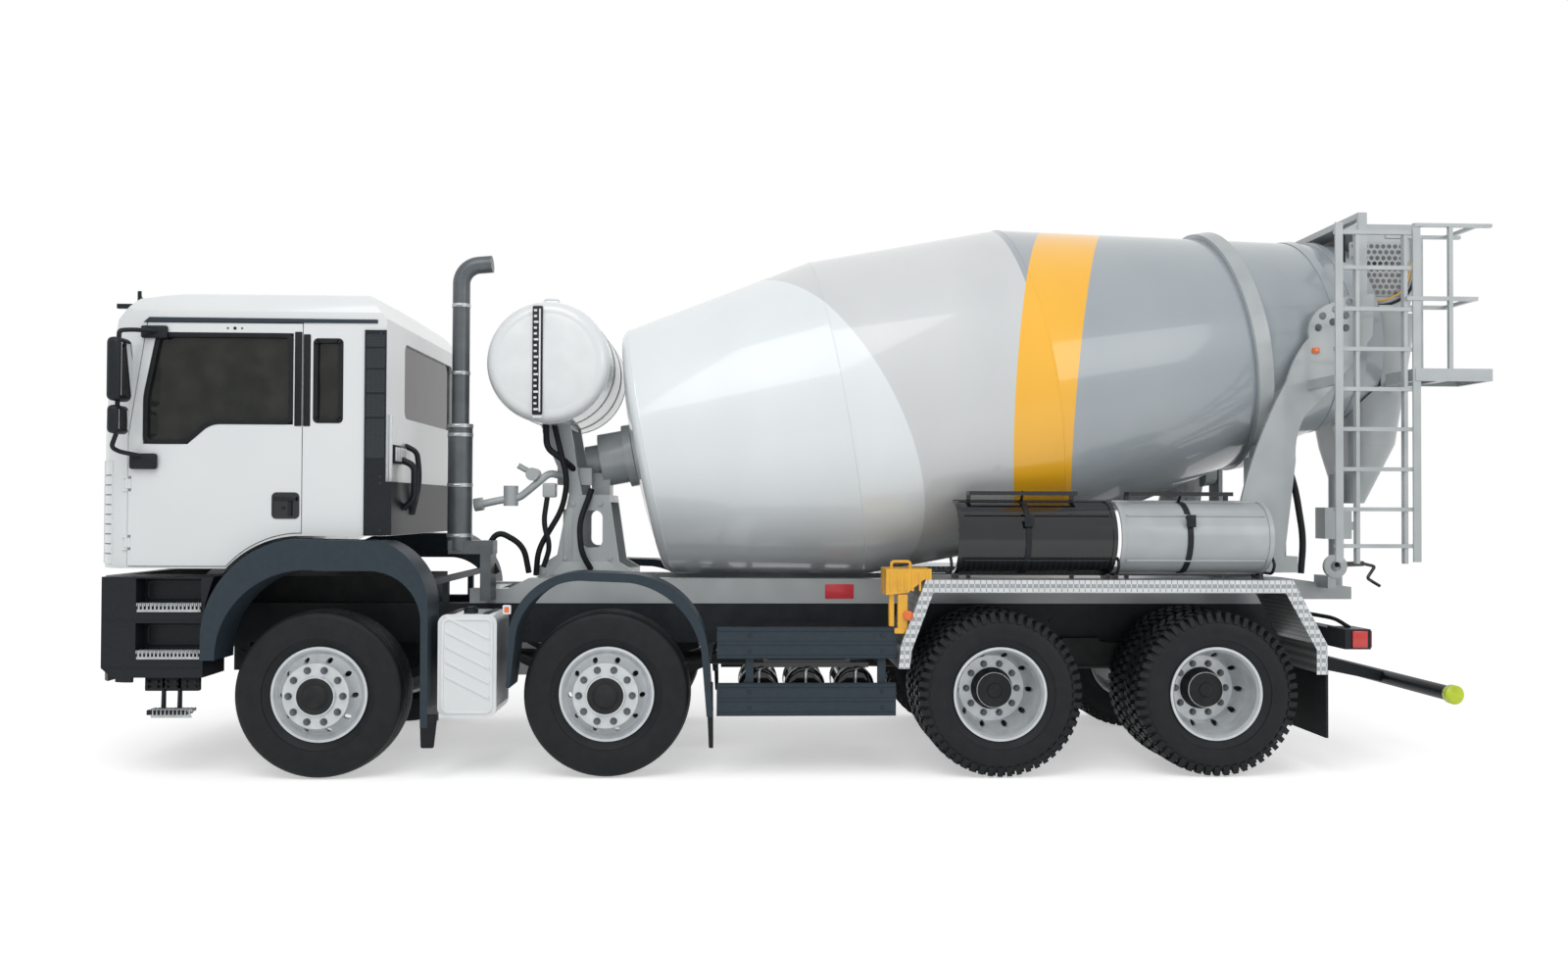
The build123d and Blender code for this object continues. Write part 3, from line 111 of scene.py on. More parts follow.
# color, second color for the soft patches, roughness, metallic, coat, patch scale, grain depth
looks = {
    "cabWhite": ((0.76, 0.79, 0.8, 1), (0.73, 0.76, 0.77, 1), 0.26, 0.0, 0.6, 2.0, 0.00002),
    "frameDark": ((0.012, 0.016, 0.02, 1), (0.022, 0.026, 0.029, 1), 0.5, 0.0, 0.0, 9.0, 0.0003),
    "mixerGrey": ((0.43, 0.46, 0.47, 1), (0.37, 0.4, 0.41, 1), 0.36, 0.0, 0.3, 5.0, 0.00008),
    "slatePlastic": ((0.026, 0.04, 0.052, 1), (0.032, 0.047, 0.06, 1), 0.45, 0.0, 0.0, 30.0, 0.0002),
    "blackPlastic": ((0.01, 0.013, 0.017, 1), (0.015, 0.018, 0.022, 1), 0.4, 0.0, 0.0, 40.0, 0.0002),
    "flapRubber": ((0.007, 0.009, 0.011, 1), (0.013, 0.014, 0.016, 1), 0.62, 0.0, 0.0, 14.0, 0.0004),
    "tyreRubber": ((0.008, 0.01, 0.012, 1), (0.014, 0.016, 0.018, 1), 0.55, 0.0, 0.0, 12.0, 0.0003),
    "rimSilver": ((0.62, 0.65, 0.67, 1), (0.54, 0.57, 0.59, 1), 0.32, 0.3, 0.3, 16.0, 0.0001),
    "castDark": ((0.014, 0.016, 0.018, 1), (0.03, 0.03, 0.03, 1), 0.6, 0.1, 0.0, 11.0, 0.0006),
    "pipeGrey": ((0.12, 0.135, 0.145, 1), (0.085, 0.095, 0.105, 1), 0.38, 0.4, 0.0, 8.0, 0.0002),
    "tankBlack": ((0.004, 0.005, 0.007, 1), (0.008, 0.009, 0.011, 1), 0.14, 0.0, 0.7, 6.0, 0.00003),
    "chockYellow": ((0.85, 0.45, 0.03, 1), (0.7, 0.36, 0.03, 1), 0.42, 0.0, 0.2, 12.0, 0.0005),
    "markerRed": ((0.62, 0.02, 0.015, 1), (0.5, 0.016, 0.012, 1), 0.15, 0.0, 0.6, 20.0, 0.00003),
    "markerOrange": ((0.85, 0.16, 0.01, 1), (0.75, 0.13, 0.01, 1), 0.15, 0.0, 0.6, 20.0, 0.00003),
    "plateRed": ((0.78, 0.05, 0.07, 1), (0.72, 0.04, 0.06, 1), 0.35, 0.0, 0.2, 20.0, 0.00003),
    "capGreen": ((0.55, 0.68, 0.02, 1), (0.45, 0.56, 0.02, 1), 0.35, 0.0, 0.2, 18.0, 0.0001),
    "tankWhite": ((0.8, 0.83, 0.84, 1), (0.74, 0.77, 0.78, 1), 0.35, 0.0, 0.2, 7.0, 0.00003),
    "mirrorGlass": ((0.6, 0.62, 0.64, 1), (0.56, 0.58, 0.6, 1), 0.04, 1.0, 0.0, 3.0, 0.00001),
    "lampClear": ((0.55, 0.58, 0.6, 1), (0.45, 0.48, 0.5, 1), 0.06, 0.6, 0.8, 12.0, 0.00003),
    "zincPlate": ((0.5, 0.52, 0.53, 1), (0.4, 0.42, 0.43, 1), 0.36, 0.7, 0.0, 22.0, 0.0001),
    "seatFabric": ((0.03, 0.031, 0.034, 1), (0.05, 0.05, 0.054, 1), 0.9, 0.0, 0.0, 120.0, 0.0012),
}
mats = {}
for name, (base, second, rough, metal, coat, scale, depth) in looks.items():
    mat, tree, shader = makeMaterial(name)
    grained = depth > 0.0001  # painted and glossy finishes have no grain
    patches = noiseRamp(tree, scale, 0.3, 0.75, 6.0 if grained else 1.0)
    grain = noiseRamp(tree, scale * 9, 0.3, 0.8, 3.0) if grained else patches
    tree.links.new(mixColor(tree, patches, base, second), shader.inputs["Base Color"])
    shader.inputs["Metallic"].default_value = metal
    shader.inputs["Coat Weight"].default_value = coat
    shader.inputs["Coat Roughness"].default_value = 0.08
    if max(base[:3]) < 0.06:
        shader.inputs["Specular IOR Level"].default_value = 0.22
    roughRange = addNode(tree, "ShaderNodeMapRange")
    spread = 0.2 if grained else 0.06
    roughRange.inputs["To Min"].default_value = rough * (1 - spread)
    roughRange.inputs["To Max"].default_value = min(1.0, rough * (1 + spread))
    tree.links.new(grain, roughRange.inputs["Value"])
    tree.links.new(roughRange.outputs["Result"], shader.inputs["Roughness"])
    if grained:
        addBump(tree, shader, grain, 0.25, depth)
    mats[name] = mat

# dark tinted glass with a light film of dust
mat, tree, shader = makeMaterial("tintedGlass")
film = noiseRamp(tree, 7.0, 0.35, 0.8)
dusty = mixColor(tree, film, (0.012, 0.014, 0.012, 1), (0.035, 0.036, 0.03, 1))
tree.links.new(dusty, shader.inputs["Base Color"])
shader.inputs["Roughness"].default_value = 0.05
shader.inputs["Alpha"].default_value = 0.93
shader.inputs["Specular IOR Level"].default_value = 0.3
mats["tintedGlass"] = mat


# drum paint: zones cut by planes in the row frame; the cone past its crease with the cylinder carries a
# painted shade
def planeSide(tree, normal, offset, softness=0.002):
    coords = addNode(tree, "ShaderNodeTexCoord")
    dot = addNode(tree, "ShaderNodeVectorMath", operation="DOT_PRODUCT")
    dot.inputs[1].default_value = normal
    tree.links.new(coords.outputs["Object"], dot.inputs[0])
    step = addNode(tree, "ShaderNodeMapRange")
    step.inputs["From Min"].default_value = offset - softness
    step.inputs["From Max"].default_value = offset + softness
    tree.links.new(dot.outputs["Value"], step.inputs["Value"])
    return step.outputs["Result"]


mat, tree, shader = makeMaterial("drumPaint")
whiteEnd = planeSide(tree, (0.8285, 0.3831, 0.4084), 1.0537)
# from the cone's crease on, the grey is painted shade for the cone turning away from the light
coneShadeStart = planeSide(tree, (0.9835, 0.0, 0.181), 2.045)
stripeStart = planeSide(tree, (0.944, -0.3243, -0.061), 1.5255)
stripeEnd = planeSide(tree, (0.9402, -0.3296, -0.0862), 1.8345)
streaks = noiseRamp(tree, 1.4, 0.35, 0.75, 8.0, (1, 1, 0.35))
drumWhite = mixColor(tree, streaks, (0.79, 0.84, 0.86, 1), (0.73, 0.78, 0.8, 1))
drumGreyLit = mixColor(tree, streaks, (0.64, 0.66, 0.67, 1), (0.58, 0.6, 0.61, 1))
# the cylinder's grey, darker and bluer here as painted shade on the cone
drumGreyShaded = mixColor(tree, streaks, (0.36, 0.4, 0.43, 1), (0.32, 0.36, 0.39, 1))
drumYellow = mixColor(tree, streaks, (0.96, 0.5, 0.02, 1), (0.9, 0.45, 0.02, 1))
zone = mixColor(tree, whiteEnd, drumWhite, drumGreyLit)
zone = mixColor(tree, coneShadeStart, zone, drumGreyShaded)
zone = mixColor(tree, stripeStart, zone, drumYellow)
# behind the yellow stripe the cone keeps the painted shade grey
zone = mixColor(tree, stripeEnd, zone, drumGreyShaded)
tree.links.new(zone, shader.inputs["Base Color"])
shader.inputs["Roughness"].default_value = 0.3
shader.inputs["Coat Weight"].default_value = 0.7
shader.inputs["Coat Roughness"].default_value = 0.06
mats["drumPaint"] = mat

# aluminium tread plate with its raised pattern; the raised diamonds are painted darker than the plain plate,
# a painted light and shade
mat, tree, shader = makeMaterial("treadPlate")
coords = addNode(tree, "ShaderNodeTexCoord")
mapping = addNode(tree, "ShaderNodeMapping")
mapping.inputs["Rotation"].default_value = (0, 0, math.radians(45))
mapping.inputs["Scale"].default_value = (38, 38, 38)
bars = addNode(tree, "ShaderNodeTexChecker")
bars.inputs["Scale"].default_value = 1.0
tree.links.new(coords.outputs["Object"], mapping.inputs["Vector"])
tree.links.new(mapping.outputs["Vector"], bars.inputs["Vector"])
wear = noiseRamp(tree, 8.0, 0.3, 0.8)
plain = mixColor(tree, wear, (0.66, 0.68, 0.69, 1), (0.5, 0.52, 0.53, 1))
# the raised diamonds painted dark grey: painted shade on the pattern, the metal itself being one colour
raised = mixColor(tree, bars.outputs["Fac"], plain, (0.3, 0.32, 0.33, 1))
tree.links.new(raised, shader.inputs["Base Color"])
shader.inputs["Metallic"].default_value = 0.75
shader.inputs["Roughness"].default_value = 0.34
addBump(tree, shader, bars.outputs["Fac"], 0.5, 0.0015)
mats["treadPlate"] = mat

slotLooks = {
    "cab_white": "cabWhite", "frame_dark": "frameDark", "mixer_grey": "mixerGrey", "drum_white": "cabWhite",
    "slate_plastic": "slatePlastic", "black_plastic": "blackPlastic", "flap_rubber": "flapRubber",
    "tyre_rubber": "tyreRubber", "rim_silver": "rimSilver", "tread_plate": "treadPlate",
    "cast_dark": "castDark", "pipe_grey": "pipeGrey", "tank_black": "tankBlack",
    "chute_black": "tankBlack", "chock_yellow": "chockYellow", "tinted_glass": "tintedGlass",
    "seat_fabric": "seatFabric",
}
slotOf = {sub["node"]: sub["material_slot"] for sub in frame["record"]["subparts"]}
for nodeName, obj in nodes.items():
    look = slotLooks[slotOf[nodeName]]
    if nodeName == "drum_shell":
        look = "drumPaint"
    for matSlot in obj.material_slots:
        matSlot.material = mats[look]
print("materials done")

# tools for the detail pieces: run is the distance behind the first axle
frontAxle = -3.025
sides = (("left", -1), ("right", 1))


def at(run, y, z):
    return Vector((frontAxle + run, y, z))


def addObject(name, bm, look, body):
    bmesh.ops.remove_doubles(bm, verts=bm.verts, dist=0.00002)
    bmesh.ops.recalc_face_normals(bm, faces=bm.faces)
    mesh = bpy.data.meshes.new(name)
    bm.to_mesh(mesh)
    bm.free()
    mesh.materials.append(mats[look])
    obj = bpy.data.objects.new(name, mesh)
    bpy.context.scene.collection.objects.link(obj)
    for poly in mesh.polygons:
        poly.use_smooth = True
    mesh.set_sharp_from_angle(angle=math.radians(34))
    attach(obj, body)
    return obj


def addBox(bm, low, high, bevel=0.0, segments=2, hand=1):
    # low and high are run, y, z; hand mirrors the box to the left side
    low, high = at(low[0], hand * low[1], low[2]), at(high[0], hand * high[1], high[2])
    place = Matrix.Translation((low + high) / 2) @ Matrix.Diagonal((*(high - low), 1))
    made = bmesh.ops.create_cube(bm, size=1.0, matrix=place)
    if bevel:
        edges = {edge for vert in made["verts"] for edge in vert.link_edges}
        bmesh.ops.bevel(
            bm, geom=list(edges), offset=bevel, segments=segments, affect="EDGES", profile=0.5, material=-1,
        )


def addSpin(bm, profile, center, axis, side, steps=48, closed=True):
    # profile pairs are distance along the axis and radius
    center, axis, side = Vector(center), Vector(axis).normalized(), Vector(side).normalized()
    verts = [bm.verts.new(center + axis * along + side * max(radius, 0.0)) for along, radius in profile]
    edges = [bm.edges.new(pair) for pair in zip(verts, verts[1:])]
    if closed:
        edges.append(bm.edges.new((verts[-1], verts[0])))
    turned = verts + edges
    bmesh.ops.spin(bm, geom=turned, cent=center, axis=axis, angle=math.tau, steps=steps, use_merge=True)


def addTurned(bm, profile, run, y, z, hand=1, steps=28, closed=False):
    # turned about an axis across the truck, its profile running outward on that hand
    addSpin(bm, profile, at(run, y, z), (0, hand, 0), (0, 0, 1), steps, closed)


def addRod(bm, start, end, radius, steps=16, endRadius=None):
    start, end = Vector(start), Vector(end)
    along = end - start
    place = Matrix.Translation((start + end) / 2) @ along.to_track_quat("Z", "Y").to_matrix().to_4x4()
    last = radius if endRadius is None else endRadius
    bmesh.ops.create_cone(
        bm, cap_ends=True, segments=steps, radius1=radius, radius2=last, depth=along.length, matrix=place,
    )


def addStud(bm, run, z, hand, face, out, radius, steps=16, endRadius=None):
    # a rod that stands out of a side face
    addRod(bm, at(run, hand * face, z), at(run, hand * (face + out), z), radius, steps, endRadius)


def addPipe(bm, points, radius, steps=12):
    # one ring drawn through the points
    turn = (points[1] - points[0]).to_track_quat("Z", "Y")
    place = Matrix.Translation(points[0]) @ turn.to_matrix().to_4x4()
    made = bmesh.ops.create_circle(bm, segments=steps, radius=radius, matrix=place)
    ring = list({edge for vert in made["verts"] for edge in vert.link_edges})
    bmesh.ops.contextual_create(bm, geom=ring)
    for index in range(1, len(points)):
        before = (points[index] - points[index - 1]).normalized()
        after = (points[min(index + 1, len(points) - 1)] - points[index]).normalized() or before
        heading = (before + after).normalized() or before
        last = turn @ Vector((0, 0, 1))
        turn = last.rotation_difference(heading) @ turn
        following = Matrix.Translation(points[index]) @ turn.to_matrix().to_4x4()
        made = bmesh.ops.extrude_edge_only(bm, edges=ring)["geom"]
        ring = [piece for piece in made if isinstance(piece, bmesh.types.BMEdge)]
        verts = [piece for piece in made if isinstance(piece, bmesh.types.BMVert)]
        bmesh.ops.transform(bm, matrix=following @ place.inverted(), verts=verts)
        place = following
    bmesh.ops.contextual_create(bm, geom=ring)


def roundPath(points, radius, segments=5):
    # the same corners, each turned on a short arc
    path = [points[0]]
    for before, corner, after in zip(points, points[1:], points[2:]):
        toBefore, toAfter = before - corner, after - corner
        reach = min(radius, toBefore.length * 0.45, toAfter.length * 0.45)
        start = corner + toBefore.normalized() * reach
        end = corner + toAfter.normalized() * reach
        for step in range(segments + 1):
            share = step / segments
            path.append(start.lerp(corner, share).lerp(corner.lerp(end, share), share))
    path.append(points[-1])
    return path


def addTube(bm, points, bend, radius, steps=12, segments=5, hand=1):
    # a bent tube through places given as run, y, z
    addPipe(bm, roundPath([at(run, hand * y, z) for run, y, z in points], bend, segments), radius, steps)


def drawOutline(bm, outline, corner=0.0, segments=4):
    # a flat face from its corners, each corner rounded
    verts = [bm.verts.new((across, up, 0.0)) for across, up in outline]
    face = bm.faces.new(verts)
    if corner:
        bmesh.ops.bevel(
            bm, geom=verts, offset=corner, segments=segments, affect="VERTICES", profile=0.5, material=-1,
        )
        face = max(bm.faces, key=lambda item: item.calc_area())
    return face


def addPanel(bm, outline, place, low, high, edge=0.0, corner=0.0, cuts=(), hole=0.0):
    # a plate drawn flat and laid on a surface: place(across, up, out) gives each spot
    flat = bmesh.new()
    face = drawOutline(flat, outline, corner)
    if face.normal.z < 0:
        face.normal_flip()
    if hole:
        bmesh.ops.inset_region(flat, faces=[face], thickness=hole, use_boundary=True, use_even_offset=True)
        bmesh.ops.delete(flat, geom=[face], context="FACES_ONLY")
    for cut in cuts:
        everything = flat.verts[:] + flat.edges[:] + flat.faces[:]
        bmesh.ops.bisect_plane(flat, geom=everything, plane_co=(cut, 0, 0), plane_no=(1, 0, 0), dist=0.00001)
    bottom = flat.faces[:]
    raised = bmesh.ops.extrude_face_region(flat, geom=bottom, use_keep_orig=True)["geom"]
    top = [piece for piece in raised if isinstance(piece, bmesh.types.BMFace)]
    topVerts = list({vert for item in top for vert in item.verts})
    bmesh.ops.translate(flat, vec=(0, 0, high - low), verts=topVerts)
    bmesh.ops.reverse_faces(flat, faces=bottom)
    if edge:
        rim = [item for item in flat.edges if sum(face in top for face in item.link_faces) == 1]
        bmesh.ops.bevel(flat, geom=rim, offset=edge, segments=2, affect="EDGES", profile=0.5, material=-1)
    bmesh.ops.translate(flat, vec=(0, 0, low), verts=flat.verts)
    for vert in flat.verts:
        vert.co = place(vert.co.x, vert.co.y, vert.co.z)
    joinInto(bm, flat)


def joinInto(bm, other):
    mesh = bpy.data.meshes.new("part")
    other.to_mesh(mesh)
    other.free()
    bm.from_mesh(mesh)
    bpy.data.meshes.remove(mesh)


def sidePlace(face, hand):
    return lambda run, z, out: at(run, hand * (face + out), z)


def rect(low, high):
    return [(low[0], low[1]), (high[0], low[1]), (high[0], high[1]), (low[0], high[1])]


# tyres: ribbed on the steered wheels, block tread on the twins
wheel = {
    "height": 0.53, "steeredTrack": (1.033,), "twinTracks": (1.074, 0.730),
    "runs": {"first": 0.0, "second": 1.795, "third": 4.3, "fourth": 5.7},
}
tyre = {
    # half sections as across, radius: the bead and sidewall, then the shoulder and tread of each kind
    "sidewall": [
        (0.110, 0.290), (0.112, 0.304), (0.128, 0.325), (0.140, 0.350), (0.1475, 0.352), (0.1505, 0.372),
        (0.1555, 0.400), (0.156, 0.425),
    ],
    "ribbed": [
        (0.1545, 0.452), (0.1495, 0.470), (0.1495, 0.478), (0.143, 0.502), (0.132, 0.516), (0.122, 0.5195),
        (0.094, 0.5235), (0.092, 0.508), (0.084, 0.508), (0.082, 0.5255), (0.052, 0.528), (0.050, 0.512),
        (0.041, 0.512), (0.039, 0.5288), (0.007, 0.5298), (0.005, 0.514),
    ],
    "block": [(0.152, 0.448), (0.142, 0.468), (0.128, 0.486), (0.112, 0.500), (0.05, 0.507)],
    "blocks": 52,
    # across, width, foot and top radius, share of a step turned
    "rows": [
        (-0.118, 0.068, 0.462, 0.521, 0.0), (-0.043, 0.072, 0.495, 0.528, 0.5),
        (0.043, 0.072, 0.495, 0.528, 0.0), (0.118, 0.068, 0.462, 0.521, 0.5),
    ],
    "lean": 10, "taper": 0.93,
}


def tyreProfile(kind):
    half = tyre["sidewall"] + tyre[kind]
    return half + [(-across, radius) for across, radius in reversed(half)]


def addTreadBlocks(bm, center):
    # one block of each row, copied round the wheel; the outer rows wrap over the shoulder
    step = math.tau / tyre["blocks"]
    for across, wide, low, top, turned in tyre["rows"]:
        size = Matrix.Diagonal((step * 0.28, wide, top - low, 1))
        lean = Matrix.Rotation(math.radians(-tyre["lean"] if across > 0 else tyre["lean"]), 4, "Z")
        around = Matrix.Translation(center) @ Matrix.Rotation(turned * step, 4, "Y")
        place = around @ Matrix.Translation((0, across, (low + top) / 2)) @ lean @ size
        made = bmesh.ops.create_cube(bm, size=1.0, matrix=place)
        outer = [vert for vert in made["verts"] if (vert.co - center).length > (low + top) / 2]
        bmesh.ops.scale(bm, vec=(1, tyre["taper"], 1), verts=outer, space=Matrix.Translation(-center))
        block = {piece for vert in made["verts"] for piece in (vert, *vert.link_edges, *vert.link_faces)}
        bmesh.ops.spin(
            bm, geom=list(block), cent=center, axis=(0, 1, 0), angle=math.tau, steps=tyre["blocks"],
            use_duplicate=True,
        )


# nuts round the hub, each on its washer, and the hub cap
hub = {
    "nuts": 10, "ring": 0.1675, "steeredFace": 1.220, "driveFace": 0.916,
    # washer, nut and stud: start, end, radius, corners
    "nutParts": ((0, 0.004, 0.023, 14), (0.004, 0.02, 0.0175, 6), (0.02, 0.026, 0.01, 10)),
    "steeredCap": [
        (0, 0.0), (0, 0.124), (0.012, 0.122), (0.02, 0.112), (0.02, 0.078), (0.03, 0.072), (0.036, 0.06),
        (0.036, 0),
    ],
    "driveCap": [
        (0, 0.0), (0, 0.138), (0.012, 0.136), (0.07, 0.118), (0.10, 0.112), (0.105, 0.095), (0.105, 0.05),
        (0.112, 0.045), (0.112, 0),
    ],
}
for axleName, run in wheel["runs"].items():
    steered = axleName in ("first", "second")
    for sideName, hand in sides:
        body = f"{axleName}_{sideName}_wheel"
        bm = bmesh.new()
        for track in wheel["steeredTrack" if steered else "twinTracks"]:
            profile = tyreProfile("ribbed" if steered else "block")
            addTurned(bm, profile, run, hand * track, wheel["height"], 1, 90, True)
            if not steered:
                addTreadBlocks(bm, at(run, hand * track, wheel["height"]))
        if steered:
            obj = addObject(f"{axleName}_{sideName}_ribbed_tyre", bm, "tyreRubber", body)
            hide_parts(f"{axleName}_{sideName}_tyre")
        else:
            obj = addObject(f"{axleName}_{sideName}_block_tyres", bm, "tyreRubber", body)
            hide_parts(f"{axleName}_{sideName}_tyres")

        face = hub["steeredFace" if steered else "driveFace"]
        bm = bmesh.new()
        for index in range(hub["nuts"]):
            turn = math.tau * index / hub["nuts"]
            ahead, up = math.cos(turn) * hub["ring"], math.sin(turn) * hub["ring"]
            for start, end, radius, steps in hub["nutParts"]:
                addStud(bm, run + ahead, wheel["height"] + up, hand, face + start, end - start, radius, steps)
        addObject(f"{axleName}_{sideName}_nuts", bm, "pipeGrey", body)
        bm = bmesh.new()
        cap = hub["steeredCap" if steered else "driveCap"]
        addTurned(bm, cap, run, hand * (face + 0.0001), wheel["height"], hand, 40)
        addObject(f"{axleName}_{sideName}_hub_cap", bm, "castDark", body)
print("wheels done")

cab = {
    "skin": 1.12, "front": -1.46, "belt": 2.01, "lean": 0.1943, "cornerStart": 0.82, "cornerRadius": 0.3,
    "doorWindow": [
        (-1.12, 2.1), (-0.844, 2.1), (-0.7, 2.227), (-0.19, 2.227), (-0.19, 2.806), (-1.04, 2.806),
        (-1.12, 2.4),
    ],
    "doorPillar": rect((-0.182, 2.218), (-0.1365, 2.815)),
    "sidePane": rect((-0.067, 2.238), (0.121, 2.776)),
    "sidePillar": rect((-0.1275, 2.218), (-0.083, 2.80)),
    "gutter": [(-1.12, 2.868), (0.335, 2.873), (0.335, 2.897), (-1.085, 2.90)],
    "dots": ((-0.60, 0.006), (-0.556, 0.010), (-0.512, 0.006)), "dotHeight": 2.834,
    "handle": rect((-0.318, 1.632), (-0.145, 1.80)), "handleWell": rect((-0.31, 1.64), (-0.153, 1.792)),
}
strip = {
    "face": 1.132, "front": 0.268, "back": 0.384, "bar": 0.018,
    "screwRun": 0.36, "screws": (1.56, 1.86, 1.90, 2.81),
    "cells": [(2.28, 2.42), (2.435, 2.575), (2.59, 2.71), (2.725, 2.80), (2.02, 2.265)],
}


def frontPlace(y, z, out):
    # a spot on the cab's front, which leans back above the belt and turns at its corners
    run = cab["front"] + max(0.0, z - cab["belt"]) * cab["lean"]
    past = min(max(0.0, abs(y) - cab["cornerStart"]), cab["cornerRadius"] * 0.999)
    run += cab["cornerRadius"] - math.sqrt(cab["cornerRadius"] ** 2 - past**2)
    turn = math.asin(past / cab["cornerRadius"])
    return at(run - out * math.cos(turn), y + math.copysign(out * math.sin(turn), y), z)


def cornerPlace(hand):
    # across is the turn round the cab's front corner in radians from straight ahead
    def place(turn, z, out):
        reach = cab["cornerRadius"] + out
        run = cab["front"] + cab["cornerRadius"] - reach * math.cos(turn)
        return at(run, hand * (cab["cornerStart"] + reach * math.sin(turn)), z)
    return place


for sideName, hand in sides:
    skin = sidePlace(cab["skin"], hand)
    door = f"{sideName}_door"
    # the pane's rubber, the pillar panel, the dots and the handle ride on the door
    bm = bmesh.new()
    addPanel(bm, cab["doorWindow"], skin, -0.016, 0.004, 0.0025, 0.05, hole=0.03)
    addPanel(bm, cab["doorPillar"], skin, 0.0002, 0.003, 0.001, 0.006)
    addObject(f"{door}_window_rubber", bm, "flapRubber", door)
    bm = bmesh.new()
    for run, size in cab["dots"]:
        addStud(bm, run, cab["dotHeight"], hand, cab["skin"], 0.002, size)
    addObject(f"{door}_dots", bm, "blackPlastic", door)
    bm = bmesh.new()
    addPanel(bm, cab["handle"], skin, 0.0002, 0.005, 0.002, 0.03, hole=0.012)
    addPanel(bm, cab["handleWell"], skin, 0.0002, 0.0012, 0.0, 0.024)
    addObject(f"{door}_handle_recess", bm, "tankBlack", door)
    bm = bmesh.new()
    addBox(bm, (-0.30, 1.124, 1.745), (-0.16, 1.146, 1.772), 0.006, hand=hand)  # grip
    addBox(bm, (-0.215, 1.121, 1.65), (-0.19, 1.134, 1.75), 0.004, hand=hand)
    addStud(bm, -0.245, 1.70, hand, 1.121, 0.006, 0.012, 20)  # lock
    addObject(f"{door}_handle", bm, "blackPlastic", door)

    # the cab's own pane rubber and gutter
    bm = bmesh.new()
    addPanel(bm, cab["sidePane"], skin, -0.016, 0.004, 0.0025, 0.03, hole=0.03)
    addPanel(bm, cab["sidePillar"], skin, 0.0002, 0.003, 0.001, 0.006)
    addObject(f"cab_{sideName}_pane_rubber", bm, "flapRubber", "cab")
    bm = bmesh.new()
    addPanel(bm, cab["gutter"], skin, -0.004, 0.008, 0.003)
    addObject(f"cab_{sideName}_gutter", bm, "slatePlastic", "cab")

    # grille cells on the dark strip behind the side pane
    stripPlace = sidePlace(strip["face"], hand)
    front, back = strip["front"], strip["back"]
    bm = bmesh.new()
    for low, high in strip["cells"]:
        addPanel(bm, rect((front, low), (back, high)), stripPlace, 0.0002, 0.003, 0.001, 0.012, hole=0.006)
        for step in range(int((high - low - 0.02) / strip["bar"])):
            z = low + 0.014 + step * strip["bar"]
            addBox(bm, (front + 0.005, 1.1318, z), (back - 0.005, 1.1345, z + 0.005), hand=hand)
        for share in (0.25, 0.5, 0.75):
            run = front + (back - front) * share
            addBox(bm, (run - 0.002, 1.1318, low + 0.005), (run + 0.002, 1.135, high - 0.005), hand=hand)
    for z in strip["screws"]:
        addStud(bm, strip["screwRun"], z, hand, strip["face"], 0.0035, 0.008, 12)
    addObject(f"cab_{sideName}_strip_grille", bm, "slatePlastic", "cab")
    bm = bmesh.new()
    for low, high in strip["cells"]:
        cell = rect((front + 0.003, low + 0.003), (back - 0.003, high - 0.003))
        addPanel(bm, cell, stripPlace, 0.0002, 0.0008, 0.0, 0.01)
    addObject(f"cab_{sideName}_strip_mesh", bm, "tankBlack", "cab")
print("cab sides done")

# windscreen rubber, wipers and front grille
screen = rect((-0.96, 2.095), (0.96, 2.795))
cornerCuts = [side * (cab["cornerStart"] + step * 0.04) for side in (-1, 1) for step in range(7)]
bm = bmesh.new()
addPanel(bm, screen, frontPlace, -0.012, 0.004, 0.002, 0.06, cornerCuts, hole=0.05)
addObject("windscreen_rubber", bm, "flapRubber", "cab")
wiper = {"arm": 0.007, "blade": 0.008, "base": 2.07, "tip": 2.17, "sets": ((-0.55, -0.12), (0.25, 0.68))}
bm = bmesh.new()
for base, tip in wiper["sets"]:
    foot, end = wiper["base"], wiper["tip"]
    arm = [(base, foot, 0.003), (base + 0.02, foot + 0.04, 0.012), (tip, end, 0.022)]
    addPipe(bm, roundPath([frontPlace(*spot) for spot in arm], 0.04), wiper["arm"], 8)
    blade = [(tip - 0.42, end - 0.015, 0.014), (tip, end - 0.005, 0.016), (tip + 0.2, end, 0.014)]
    addPipe(bm, roundPath([frontPlace(*spot) for spot in blade], 0.1), wiper["blade"], 6)
    addRod(bm, frontPlace(base, foot, -0.01), frontPlace(base, foot, 0.009), 0.022)
addObject("wipers", bm, "blackPlastic", "cab")

grille = {"low": 1.47, "high": 1.90, "half": 0.80, "slats": 5, "pitch": 0.078, "slat": 0.04}
half = grille["half"]
bm = bmesh.new()
addPanel(bm, rect((-half, grille["low"]), (half, grille["high"])), frontPlace, 0.0002, 0.0035, 0.001, 0.04)
addObject("grille_backing", bm, "tankBlack", "cab")
bm = bmesh.new()
for index in range(grille["slats"]):
    z = grille["low"] + 0.04 + index * grille["pitch"]
    slat = rect((-half + 0.03, z), (half - 0.03, z + grille["slat"]))
    addPanel(bm, slat, frontPlace, 0.0036, 0.0049, 0.0006, 0.012)
addObject("grille_slats", bm, "slatePlastic", "cab")

